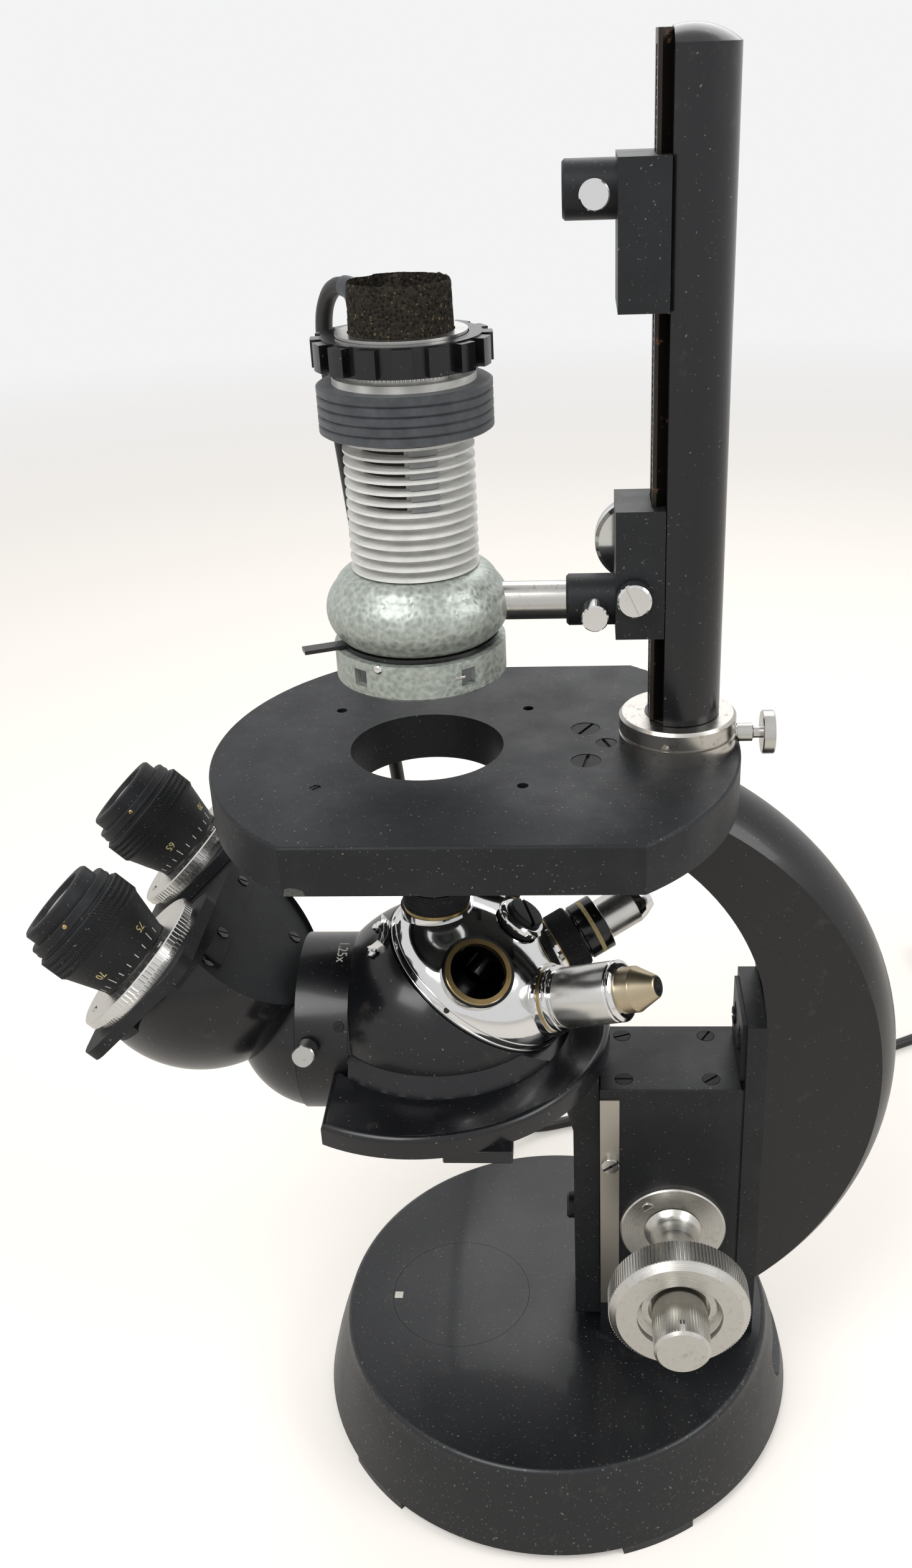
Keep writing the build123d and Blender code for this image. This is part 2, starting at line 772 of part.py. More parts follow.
def make_lamp_socket():
    """The steel holder: flange, knurled neck and lip round the plug."""
    low = grip_z0 + 4.0
    seat = grip_z1 + white_ring_thick
    top = lip_top
    profile = [(fin_core_r - 6, low), (fin_core_r - 2.3, low), (fin_core_r - 2.3, seat),
               (lip_r - 1.2, seat), (lip_r - 1.2, nut_z1 - 2.0), (lip_r, nut_z1 - 1.6),
               (lip_r, top), (foam_r + 0.1, top), (foam_r + 0.1, nut_z1 - 4),
               (fin_core_r - 6, nut_z1 - 4)]
    return turned(profile, (optic_x, 0, 0))


def make_nut():
    """The toothed black ring that centres the lamp."""
    inner = lip_r + face_gap
    outer_root = nut_r - 3.0
    ring = pipe(inner, outer_root, nut_z0, nut_z1, (optic_x, 0, 0))
    for number in range(nut_teeth):
        turn = number * 360 / nut_teeth + 6
        tooth = box(outer_root - 1, nut_r, -2.9, 2.9, nut_z0 + 0.6, nut_z1 - 0.4)
        tooth = tooth & pipe(outer_root - 1.5, nut_r, nut_z0, nut_z1)
        ring += Pos(optic_x, 0, 0) * (Rot(0, 0, turn) * tooth)
    return ring


def make_foam():
    """The sponge plug in the lamp's mouth, notched where the cord comes up."""
    low = nut_z1 - 4
    profile = [(0, low), (foam_r, low), (foam_r - 0.4, foam_top - 2.5),
               (foam_r - 2.2, foam_top), (0, foam_top)]
    x, y, z = cord_route[0]
    notch = rod(gland_r + face_gap, lip_top, foam_top + 5, (x, y, 0))
    return turned(profile, (optic_x, 0, 0)) - notch


def make_bulb():
    """The filament lamp inside the lamp house, seen only when it comes apart."""
    low = grip_z0 + 4.5
    profile = [(0, low - 34), (4.0, low - 32), (7.0, low - 24), (7.0, low - 12),
               (6.0, low - 8), (6.0, low + 6), (0, low + 6)]
    return turned(profile, (optic_x, 0, 0))


# Nosepiece carrier

def make_slide():
    """The focusing slide with its tongue and rack, on the front of the block."""
    right = block_x0 - face_gap
    low, high = slide_bottom, slide_top
    body = box(slide_x0, right, -slide_half_y, slide_half_y, low, high)
    tongue_low = base_height + channel_end_wall + slide_travel_down + 0.5
    tongue_high = block_body_top - slide_travel_up - 0.8
    neck_end = block_x0 + tongue_depth
    body += box(right - 1, neck_end, -tongue_neck_half_y, tongue_neck_half_y,
                tongue_low, tongue_high)
    rack_x = knob_x - pinion_r
    root = rack_x - pinion_module * 1.25
    body += box(neck_end, root, -tongue_half_y, tongue_half_y, tongue_low, tongue_high)
    pitch = math.pi * pinion_module
    below = int((knob_z - tongue_low) / pitch)
    teeth_low = knob_z - pitch * below
    teeth_high = tongue_high - 1
    body += rack_teeth(teeth_low, teeth_high, rack_x, pinion_module,
                       pinion_length / 2 - 0.5, 1)
    body += box(slide_x0, right, -slide_half_y, slide_half_y, high - 1, yoke_bottom)
    return body + slide_stop()


def slide_stop():
    """The small stop button on the slide's outer face."""
    return turned([(0, 0), (5.2, 0), (5.2, 2.2), (4.4, 3.0), (0, 3.0)],
                  (slide_x0, -6, 92.0), (-1, 0, 0))


def make_yoke():
    """The fork that carries the housing: a flat ring, open to the eyepiece side."""
    body = rod(yoke_r, yoke_bottom, yoke_top, (yoke_x, 0, 0))
    reach = yoke_r * 2
    body = body & box(yoke_cut_x, reach, -reach, reach, yoke_bottom, yoke_top)
    body = fillet(body.edges().group_by(Axis.Z)[-1], 2.4)
    body -= rod(yoke_inner_r, yoke_bottom - 1, yoke_top + 1, (optic_x, 0, 0))
    body -= box(yoke_cut_x - 1, optic_x - 20, -tube_r - 1, tube_r + 1,
                yoke_bottom - 1, yoke_top + 1)
    gusset = plate_xz([(slide_x0, yoke_bottom - 34), (slide_x0, yoke_bottom),
                       (slide_x0 - 8, yoke_bottom), (slide_x0 - 6.5, yoke_bottom - 8)],
                      -slide_half_y + 3, slide_half_y - 3)
    return body + (gusset - ball(ball_centre, ball_r + face_gap))


def make_housing():
    """The ball housing of the light path, flattened where the turret turns."""
    body = ball(ball_centre, ball_r)
    flange_low = yoke_bottom
    flange_r = yoke_inner_r - 0.05
    body += turned([(0, flange_low), (flange_r, flange_low), (flange_r, yoke_top),
                    (ball_r, yoke_top + 7.0), (0, yoke_top + 7.0)], (optic_x, 0, 0))
    body += rod(tube_r, tube_seam_x - 1.0, optic_x, (0, 0, tube_z), (1, 0, 0))
    far = skirt_h - face_gap
    body -= rod(ball_r + 20, far, ball_r + 30, ball_centre, turret_axis)
    light = rod(9.0, 0, ball_r + 20, ball_centre)
    body -= light
    body -= rod(11.0, tube_seam_x - 2, optic_x, (0, 0, tube_z), (1, 0, 0))
    body -= rod(pivot_r + shaft_gap, skirt_h - 12, skirt_h + 5, ball_centre, turret_axis)
    body -= box(optic_x - 60, optic_x + 60, -60, 60, 0, housing_bottom)
    body -= box(tube_x0 - 60, tube_seam_x - 1.0, -60, 60, 0, ball_z + 60)
    return body + housing_cover()


housing_bottom = 146.0
pivot_r = 6.0


def housing_cover():
    """The round plate under the mirror chamber."""
    radius = math.sqrt(ball_r ** 2 - (ball_z - housing_bottom) ** 2) - 0.5
    return turned([(0, housing_bottom - 2.5), (radius - 1, housing_bottom - 2.5),
                   (radius, housing_bottom - 1.5), (radius, housing_bottom),
                   (0, housing_bottom)], (optic_x, 0, 0))


def make_tube_ring():
    """The collar with its clamp screw that holds the binocular head."""
    body = pipe(12.0, tube_r + 0.4, tube_x0, tube_seam_x - 1.0, (0, 0, tube_z), (1, 0, 0))
    body -= rod(tube_screw_r + shaft_gap, 24, 50, tube_screw_place(), tube_screw_axis())
    return body


tube_screw_r = 2.0


def tube_screw_axis():
    turn = math.radians(-198)
    return (0, math.cos(turn), math.sin(turn))


def tube_screw_place():
    return (tube_x0 + 5.0, 0, tube_z)


def make_tube_screw():
    start = 25.0
    edge = tube_r + 0.4
    profile = [(0, start), (tube_screw_r, start), (tube_screw_r, edge + 2.5),
               (3.6, edge + 2.5), (4.0, edge + 2.9), (4.0, edge + 10.0),
               (3.6, edge + 10.4), (0, edge + 10.4)]
    return turned(profile, tube_screw_place(), tube_screw_axis())


# Turret and what it holds

def make_dome():
    """The chromed turret: a domed shell with five seats and a pivot."""
    seat = seat_distance
    seat_rad = seat * math.sin(tilt)
    seat_h = seat * math.cos(tilt)
    outer = Spline((skirt_r, 0, skirt_h), (skirt_r - 1.6, 0, skirt_h + 9.0),
                   (seat_rad, 0, seat_h), (seat_rad * 0.5, 0, seat_h + 8.0),
                   (0, 0, seat_h + 11.0))
    wall = dome_wall
    inner_top = seat_h + 11.0 - wall * 2
    profile = (
        outer
        + Line((0, 0, seat_h + 11.0), (0, 0, inner_top))
        + ThreePointArc((0, 0, inner_top), (seat_rad * 0.8, 0, seat_h - wall - 1.0),
                        (skirt_r - wall, 0, skirt_h))
        + Line((skirt_r - wall, 0, skirt_h), (skirt_r, 0, skirt_h))
    )
    shell = revolve(make_face(profile), Axis.Z)
    body = Plane(ball_centre, z_dir=turret_axis) * shell
    for place in range(seat_count):
        body += rod(seat_ring_r + 1.2, seat - 8, seat, ball_centre, seat_axis(place))
    body += rod(pivot_r, skirt_h - 11, inner_top + 2, ball_centre, turret_axis)
    for place in range(seat_count):
        direction = seat_axis(place)
        body -= rod(seat_r, 0, seat + 20, ball_centre, direction)
        body -= rod(seat_ring_r, seat - 2.0, seat + 20, ball_centre, direction)
    return body - rod(plug_seat_r, seat_h + plug_seat_h, seat_h + 30, ball_centre, turret_axis)


plug_seat_h = 9.8
plug_seat_r = 8.4


def make_seat_rings():
    return [pipe(seat_r, seat_ring_r, seat_distance - 2.0, seat_distance + 0.6,
                 ball_centre, seat_axis(place)) for place in range(seat_count)]


def make_pivot_plug():
    low = seat_distance * math.cos(tilt) + plug_seat_h
    return turned([(0, low), (plug_seat_r, low), (plug_seat_r, low + 2.4),
                   (plug_seat_r - 0.8, low + 3.0), (0, low + 3.0)],
                  ball_centre, turret_axis)


def objective(place, steps):
    """An objective: (radius, from, to) steps along its seat's axis, over its thread."""
    base = seat_distance + 0.6
    profile = [(0, base - 5), (seat_r - 0.05, base - 5), (seat_r - 0.05, base)]
    for radius, start, end in steps:
        profile += [(radius, base + start), (radius, base + end)]
    profile.append((0, base + steps[-1][2]))
    return turned(profile, ball_centre, seat_axis(place))


def make_objective_short():
    return objective(0, [(12.0, 0, 8.0), (11.4, 8.0, 9.0), (12.0, 9.0, 16.0),
                         (10.4, 16.0, 30.0), (8.0, 30.0, 38.0), (5.0, 38.0, 42.5)])


def make_objective_bright():
    """The bright objective: its barrel and its pale sprung front."""
    base = seat_distance + 0.6
    barrel = objective(2, [(12.0, 0, 3.0), (10.6, 3.0, 4.0), (10.9, 4.0, 27.0),
                           (9.6, 27.0, 28.0)])
    profile = [(0, base + 28.0), (6.6, base + 28.0), (6.6, base + 33.0), (5.4, base + 37.0),
               (3.0, base + 38.0), (2.2, base + 42.0), (0, base + 42.0)]
    return [barrel, turned(profile, ball_centre, seat_axis(2))]


def make_objective_dark():
    """The dark objective: a knurled ring and a black ring, then a bright barrel."""
    ring = objective(3, [(11.9, 0, 9.0), (10.2, 9.0, 10.0), (10.9, 10.0, 19.5)])
    base = seat_distance + 0.6
    profile = [(0, base + 19.5), (7.9, base + 19.5), (7.9, base + 33.0), (7.0, base + 36.0),
               (5.0, base + 40.0), (0, base + 40.0)]
    return [ring, turned(profile, ball_centre, seat_axis(3))]


def make_seat_plug():
    """The knurled black stopper in the far seat."""
    return objective(4, [(12.4, 0, 5.0), (11.4, 5.0, 9.0), (8.2, 9.0, 10.0)])


# Focus knobs

def make_knob_flanges():
    return [knob_flange(side) for side in (-1, 1)]


def knob_flange(side):
    start = block_half_y
    profile = [(coarse_shaft_r + shaft_gap, start), (knob_flange_r, start),
               (knob_flange_r, start + knob_flange_thick - 0.5),
               (knob_flange_r - 0.5, start + knob_flange_thick),
               (coarse_shaft_r + shaft_gap, start + knob_flange_thick)]
    return turned(profile, (knob_x, 0, knob_z), (0, side, 0))


def make_pinion_shaft():
    """The hollow shaft of the coarse knobs, with the pinion cut on its middle."""
    reach = coarse_knob_y
    bore = fine_shaft_r + shaft_gap
    body = rod(coarse_shaft_r, -reach, reach, (knob_x, 0, knob_z), (0, 1, 0))
    body += gear(pinion_teeth, pinion_module, pinion_length, (knob_x, 0, knob_z), math.pi)
    return body - rod(bore, -reach - 1, reach + 1, (knob_x, 0, knob_z), (0, 1, 0))


def make_coarse_knobs():
    return [coarse_knob(side) for side in (-1, 1)]


def coarse_knob(side):
    start = block_half_y + knob_flange_thick + face_gap
    face = coarse_knob_y + coarse_knob_thick
    back = coarse_knob_y
    profile = [(coarse_shaft_r, start), (knob_hub_r + 2, start), (knob_hub_r, start + 2.5),
               (knob_hub_r - 1.5, start + 10), (knob_hub_r, back - 6), (knob_hub_r + 5, back),
               (coarse_knob_r - 1.0, back), (coarse_knob_r, back + 1.0),
               (coarse_knob_r, face - 2.4), (coarse_knob_r - 2.4, face),
               (15.5, face), (15.5, face - 2.4), (13.5, face - 4.0), (11.2, face - 4.0),
               (11.2, face - 7.0), (fine_shaft_r + shaft_gap, face - 7.0),
               (fine_shaft_r + shaft_gap, coarse_knob_y), (coarse_shaft_r, coarse_knob_y)]
    return turned(profile, (knob_x, 0, knob_z), (0, side, 0))


def fine_knob(side):
    start = coarse_knob_y + coarse_knob_thick - 7.0 + face_gap
    end = fine_knob_end_y
    profile = [(fine_shaft_r, start), (fine_knob_r - 0.4, start), (fine_knob_r, start + 0.6),
               (fine_knob_r, end - 1.0), (fine_knob_r - 1.0, end), (0, end),
               (0, start + 8), (fine_shaft_r, start + 8)]
    body = turned(profile, (knob_x, 0, knob_z), (0, side, 0))
    hole = rod(1.1, fine_knob_r - 2.5, fine_knob_r + 1, (knob_x, side * (end - 5.0), knob_z),
               (0, 0, 1))
    return body - hole


def make_fine_knobs():
    """Both fine knobs on the thin shaft that runs through the coarse one."""
    reach = coarse_knob_y + coarse_knob_thick - 7.0 + face_gap + 8
    shaft = rod(fine_shaft_r, -reach, reach, (knob_x, 0, knob_z), (0, 1, 0))
    return fine_knob(-1) + shaft + fine_knob(1)


# Binocular head

def make_head_shell():
    centre = head_point(head_t, 0, head_e)
    body = ball(centre, head_r)
    body += ball((end_ball_x, 0, tube_z), end_ball_r)
    above = rod(cover_r + 0.1, cover_t - cover_thick, cover_t + 60,
                head_point(0, 0, head_e), cover_axis)
    body -= above
    origin = head_point(head_t, 0, 0)
    body -= rod(head_r + 30, slide_plate_e, slide_plate_e + 60, origin, eye_axis)
    body -= rod(tube_r + 2.0, tube_x0 - face_gap, tube_x0 + 60, (0, 0, tube_z), (1, 0, 0))
    body += rod(12.0 - shaft_gap, tube_x0 - 2, tube_x0 + 8.0, (0, 0, tube_z), (1, 0, 0))
    return body


def make_head_cover():
    plate = rod(cover_r, cover_t - cover_thick, cover_t, head_point(0, 0, head_e), cover_axis)
    origin = head_point(head_t, 0, 0)
    limit = slide_plate_e - face_gap
    plate -= rod(head_r + 30, limit, limit + 60, origin, eye_axis)
    return plate - rod(tube_r + 2.0, tube_x0 - face_gap, tube_x0 + 60, (0, 0, tube_z), (1, 0, 0))


def slide_outline(half_t, half_y):
    """A plate outline with round ends, long in Y."""
    return SlotOverall(2 * half_y, 2 * half_t)


def make_slide_base():
    """The fixed guide plate of the eyepiece carriages."""
    face = Plane(head_point(eye_t - 3, 0, slide_plate_e), x_dir=(0, 1, 0), z_dir=eye_axis)
    body = extrude(face * slide_outline(27.0, 58.0), amount=slide_plate_thick)
    for side in (-1, 1):
        bore = Plane(head_point(eye_t, side * eye_half_spacing, slide_plate_e - 1),
                     x_dir=(0, 1, 0), z_dir=eye_axis)
        body -= extrude(bore * SlotOverall(2 * 12 + 20, 24), amount=slide_plate_thick + 2)
    return body


def make_carriage(side):
    """One eyepiece carriage: a rounded plate that slides on the guide plate."""
    low = slide_plate_e + slide_plate_thick + face_gap
    centre = head_point(eye_t - 1, side * eye_half_spacing, low)
    face = Plane(centre, x_dir=(0, 1, 0), z_dir=eye_axis)
    body = extrude(face * RectangleRounded(2 * 25.5, 2 * 26.5, 9.0), amount=carriage_thick)
    axis_point = head_point(eye_t, side * eye_half_spacing, 0)
    return body - rod(11.6, low - 1, low + carriage_thick + 1, axis_point, eye_axis)


def make_disc(side):
    """The bright knurled ring of the carriage, in two tiers, with its tube."""
    low = slide_plate_e + slide_plate_thick + face_gap + carriage_thick
    axis_point = head_point(eye_t, side * eye_half_spacing, 0)
    profile = [(10.2, low), (disc_r - 2.2, low), (disc_r - 2.2, low + 2.6), (disc_r, low + 2.6),
               (disc_r, disc_e - 0.4), (disc_r - 0.4, disc_e), (13.0, disc_e),
               (13.0, disc_e + 8.0), (10.2, disc_e + 8.0)]
    return turned(profile, axis_point, eye_axis)


def eye_sleeve(side):
    """The black eyepiece sleeve: scale cone, knurled band and upper ring."""
    axis_point = head_point(eye_t, side * eye_half_spacing, 0)
    foot = disc_e + face_gap
    cone_top = eye_cap_e - 19.3
    band_top = eye_cap_e - 9.6
    ring_top = eye_cap_e - 4.9
    profile = [(13.0 + shaft_gap, foot), (14.5, foot), (14.5, foot + 0.9), (sleeve_r - 0.4, cone_top),
               (sleeve_r, cone_top + 0.5), (sleeve_r, band_top - 0.5), (sleeve_r - 0.5, band_top),
               (17.5, band_top), (17.5, ring_top - 0.4), (17.1, ring_top), (13.0, ring_top),
               (13.0 + shaft_gap, disc_e + 8.6)]
    return turned(profile, axis_point, eye_axis)


def make_eyepiece(side):
    """One eyepiece: its scaled sleeve, the cap that stands in it, and the eye lens."""
    return [eye_sleeve(side), eye_cap(side), eye_lens(side)]


def eye_cap(side):
    axis_point = head_point(eye_t, side * eye_half_spacing, 0)
    low = disc_e + 9.0
    ring_top = eye_cap_e - 4.9
    profile = [(8.0, low), (12.9, low), (12.9, ring_top), (14.9, ring_top),
               (14.9, eye_cap_e - 0.7), (14.2, eye_cap_e), (11.2, eye_cap_e),
               (10.4, eye_cap_e - 2.0), (8.0, eye_cap_e - 2.0)]
    return turned(profile, axis_point, eye_axis)


def eye_lens(side):
    axis_point = head_point(eye_t, side * eye_half_spacing, 0)
    low = eye_cap_e - 6.0
    return Plane(axis_point, z_dir=eye_axis) * domed(8.0, low, low + 1.6, 1.6)


# Lamp cord

cord_route = [
    (-52.9, 11.3, 430.5), (-52.9, 11.3, 441.0), (-58.5, 18.0, 447.5), (-65.0, 25.0, 444.0),
    (-68.5, 31.0, 431.0), (-68.5, 38.0, 411.0), (-67.5, 47.0, 383.0), (-66.5, 58.0, 348.0), (-66.0, 69.0, 314.0),
    (-65.0, 79.0, 279.0), (-63.0, 86.0, 240.0), (-60.0, 92.0, 197.0), (-56.0, 99.0, 152.0),
    (-51.0, 107.0, 106.0), (-45.0, 118.0, 60.0), (-36.0, 130.0, 24.0), (-18.0, 143.0, 3.0),
    (14.0, 154.0, 3.0), (50.0, 160.0, 3.0), (88.0, 171.0, 3.0), (124.0, 189.0, 3.0),
    (160.0, 204.0, 3.0), (196.0, 221.0, 3.0), (228.1, 242.4, 3.0),
]


def cord_radii():
    """The largest tangent arc at each corner that its two runs allow."""
    radii = []
    for before, here, after in zip(cord_route, cord_route[1:], cord_route[2:]):
        first = Vector(*here) - Vector(*before)
        second = Vector(*after) - Vector(*here)
        turn = math.radians(first.get_angle(second))
        shorter = min(first.length, second.length)
        radii.append(0.45 * shorter / math.tan(turn / 2))
    return radii


def make_cord():
    radii = cord_radii()
    print("cord radii", [round(radius, 1) for radius in radii])
    path = FilletPolyline(*cord_route, radius=radii)
    start = Plane(cord_route[0], z_dir=path % 0)
    tube = sweep(start * Circle(cord_r), path=path)
    print("cord tube", round(path.length, 1), round(tube.volume / (math.pi * cord_r ** 2), 1))
    return tube


coil_centre = (258.0, 262.0)
coil_mid_r = 30.0
coil_turns_wide = 2
coil_turns_high = 3


def make_cord_coil():
    half = cord_r * coil_turns_wide
    high = 2 * cord_r * coil_turns_high
    return pipe(coil_mid_r - half, coil_mid_r + half, 0.25, high, (*coil_centre, 0))


def make_cord_gland():
    """The tapered strain relief that stands on the lamp's lip."""
    x, y, z = cord_route[0]
    inner = cord_r + shaft_gap
    profile = [(0, lip_top), (gland_r, lip_top), (gland_r, z), (inner + 0.9, z + 7.0),
               (inner, z + 7.0), (inner, z), (0, z)]
    return turned(profile, (x, y, 0))


plug_r = 12.5
plug_neck_r = 4.5
plug_gap = 0.3
plug_place = (coil_centre[0], coil_centre[1] + coil_mid_r + cord_r * coil_turns_wide
              + plug_r + plug_gap, plug_r + 0.25)


def make_plug():
    """A plain round two-pin plug, laid beside the coil."""
    body = turned([(0, -22), (plug_neck_r, -22), (9.0, -9), (plug_r, 4), (plug_r, 10), (0, 10)],
                  plug_place, (1, 0, 0))
    pins = [rod(2.0, 10, 29, along(plug_place, (0, side, 0), 6.5), (1, 0, 0))
            for side in (-1, 1)]
    return [body] + pins


# Every node by its name

pieces = {
    "base": make_base,
    "base_port_cover": make_port_cover,
    "focus_block": make_block,
    "block_cap": make_block_cap,
    "block_screws": make_block_screws,
    "guide_gib": make_gib,
    "arm_plate": make_arm_plate,
    "slot_plate": make_slot_plate,
    "arm": make_arm,
    "stage": make_stage,
    "stage_screws": make_stage_screws,
    "column_ring": make_column_ring,
    "ring_screw": make_ring_screw,
    "knob_flanges": make_knob_flanges,
    "pinion_shaft": make_pinion_shaft,
    "coarse_knobs": make_coarse_knobs,
    "fine_knobs": make_fine_knobs,
    "column": make_column,
    "rack_rail": make_rail,
    "lower_carrier": make_lower_carrier,
    "upper_carrier": make_upper_carrier,
    "drive_wheel": make_drive_wheel,
    "clamp_screw": make_clamp_screw,
    "lower_socket_screw": lambda: make_socket_screw(lower_x0, lower_socket_z),
    "upper_socket_screw": lambda: make_socket_screw(upper_x0, upper_socket_z),
    "lamp_rod": make_lamp_rod,
    "lamp_body": make_lamp_body,
    "diaphragm_lever": make_lever,
    "condenser_lens": make_condenser_lens,
    "lamp_fins": make_fins,
    "rubber_grip": make_grip,
    "lamp_socket": make_lamp_socket,
    "centring_nut": make_nut,
    "foam_plug": make_foam,
    "lamp_bulb": make_bulb,
    "cord_gland": make_cord_gland,
    "lamp_cord": make_cord,
    "cord_coil": make_cord_coil,
    "cord_plug": make_plug,
    "focus_slide": make_slide,
    "yoke": make_yoke,
    "ball_housing": make_housing,
    "tube_ring": make_tube_ring,
    "tube_screw": make_tube_screw,
    "turret_dome": make_dome,
    "seat_rings": make_seat_rings,
    "pivot_plug": make_pivot_plug,
    "objective_short": make_objective_short,
    "objective_bright": make_objective_bright,
    "objective_dark": make_objective_dark,
    "seat_plug": make_seat_plug,
    "head_shell": make_head_shell,
    "head_cover": make_head_cover,
    "slide_base": make_slide_base,
}
for side, word in ((-1, "near"), (1, "far")):
    pieces[f"{word}_carriage"] = lambda side=side: make_carriage(side)
    pieces[f"{word}_disc"] = lambda side=side: make_disc(side)
    pieces[f"{word}_eyepiece"] = lambda side=side: make_eyepiece(side)


def write(name, shapes):
    solids = shapes if isinstance(shapes, list) else [shapes]
    found = [solid for shape in solids for solid in shape.solids()]
    node = found[0] if len(found) == 1 else Compound(children=found)
    node.label = name
    export_step(node, f"parts/{name}.step")
    print(name, len(found), round(sum(solid.volume for solid in found)))


os.makedirs("parts", exist_ok=True)
for name, make in pieces.items():
    write(name, make())
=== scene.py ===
import math
import random

import bpy
from mathutils import Matrix, Vector, noise


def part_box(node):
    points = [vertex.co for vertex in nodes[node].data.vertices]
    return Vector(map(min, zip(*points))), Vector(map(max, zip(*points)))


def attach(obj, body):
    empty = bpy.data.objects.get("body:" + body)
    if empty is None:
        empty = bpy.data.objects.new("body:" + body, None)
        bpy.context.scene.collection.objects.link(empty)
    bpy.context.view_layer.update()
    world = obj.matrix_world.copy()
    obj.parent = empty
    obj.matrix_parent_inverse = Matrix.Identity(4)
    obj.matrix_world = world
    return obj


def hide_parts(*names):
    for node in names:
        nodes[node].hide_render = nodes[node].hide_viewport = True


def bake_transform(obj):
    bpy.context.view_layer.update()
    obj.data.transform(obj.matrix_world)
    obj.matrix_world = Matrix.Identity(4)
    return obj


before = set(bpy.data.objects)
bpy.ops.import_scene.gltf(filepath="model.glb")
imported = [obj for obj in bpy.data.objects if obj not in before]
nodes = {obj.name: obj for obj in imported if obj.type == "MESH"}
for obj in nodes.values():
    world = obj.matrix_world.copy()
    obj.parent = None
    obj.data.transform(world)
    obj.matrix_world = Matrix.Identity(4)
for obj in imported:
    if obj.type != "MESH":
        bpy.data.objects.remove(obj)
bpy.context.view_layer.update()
scene = bpy.context.scene
mm = 0.001
print("frame loaded,", len(nodes), "nodes")


# Small helpers

def linear(code):
    parts = [int(code[i:i + 2], 16) / 255 for i in (1, 3, 5)]
    return [v / 12.92 if v <= 0.04045 else ((v + 0.055) / 1.055) ** 2.4 for v in parts] + [1.0]


def place(x, y, z):
    return Vector((x, y, z)) * mm


def perMetre(size):
    # the noise scale whose features are about size millimetres across
    return 1000 / size


def addNode(mat, kind, inputs=None, stops=None, **settings):
    node = mat.node_tree.nodes.new("ShaderNode" + kind)
    for key, value in settings.items():
        setattr(node, key, value)
    for key, value in (inputs or {}).items():
        if isinstance(value, bpy.types.NodeSocket):
            mat.node_tree.links.new(value, node.inputs[key])
        else:
            node.inputs[key].default_value = value
    for number, (position, level) in enumerate(stops or []):
        ramp = node.color_ramp.elements
        element = ramp[number] if number < 2 else ramp.new(position)
        element.position = position
        element.color = (level, level, level, 1)
    return node


def newMaterial(name, **values):
    mat = bpy.data.materials.new(name)
    mat.use_nodes = True
    shader = mat.node_tree.nodes["Principled BSDF"]
    for key, value in values.items():
        shader.inputs[key.replace("_", " ")].default_value = value
    where = addNode(mat, "TexCoord").outputs["Object"]
    return mat, shader, where


def mixColours(mat, factor, first, second):
    first, second = (linear(colour) if isinstance(colour, str) else colour for colour in (first, second))
    return addNode(mat, "Mix", {0: factor, 6: first, 7: second}, data_type="RGBA").outputs[2]


def frameAlong(origin, axis, turn=0.0):
    # a matrix whose Z runs along axis; turn is measured in degrees about it
    spin = Matrix.Rotation(math.radians(turn), 4, "Z")
    return Matrix.Translation(origin) @ axis.to_track_quat("Z", "Y").to_matrix().to_4x4() @ spin


def makePiece(name, verts, faces, body, mats, faceMats=None, sharp=32, matrix=None):
    mesh = bpy.data.meshes.new(name)
    mesh.from_pydata([matrix @ Vector(v) if matrix else Vector(v) for v in verts], [], faces)
    for mat in mats:
        mesh.materials.append(mat)
    for number, index in enumerate(faceMats or []):
        mesh.polygons[number].material_index = index
    mesh.validate()
    mesh.polygons.foreach_set("use_smooth", [True] * len(mesh.polygons))
    mesh.set_sharp_from_angle(angle=math.radians(sharp))
    piece = bpy.data.objects.new(name, mesh)
    scene.collection.objects.link(piece)
    if body:
        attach(piece, body)
    return piece


def ringFaces(rows, count):
    # the quads between each ring of count points and the next
    faces = []
    for row in range(rows):
        low, high = row * count, (row + 1) * count
        for k in range(count):
            after = (k + 1) % count
            faces.append((low + k, low + after, high + after, high + k))
    return faces


def rounded(profile, radius):
    # every corner of a turned outline gets a small round of three points
    out = []
    for number, here in enumerate(profile):
        before = profile[number - 1]
        after = profile[(number + 1) % len(profile)]
        a = Vector(before[:2]) - Vector(here[:2])
        b = Vector(after[:2]) - Vector(here[:2])
        ends = number in (0, len(profile) - 1)
        if ends or a.length < 1e-6 or b.length < 1e-6:
            out.append(here)
            continue
        step = min(radius, a.length * 0.4, b.length * 0.4)
        corner = Vector(here[:2])
        first = corner + a.normalized() * step
        last = corner + b.normalized() * step
        middle = (first + last) / 4 + corner / 2
        band = here[2] if len(here) > 2 else 0
        old = before[2] if len(before) > 2 else 0
        out += [(first.x, first.y, old), (middle.x, middle.y, band), (last.x, last.y, band)]
    return out


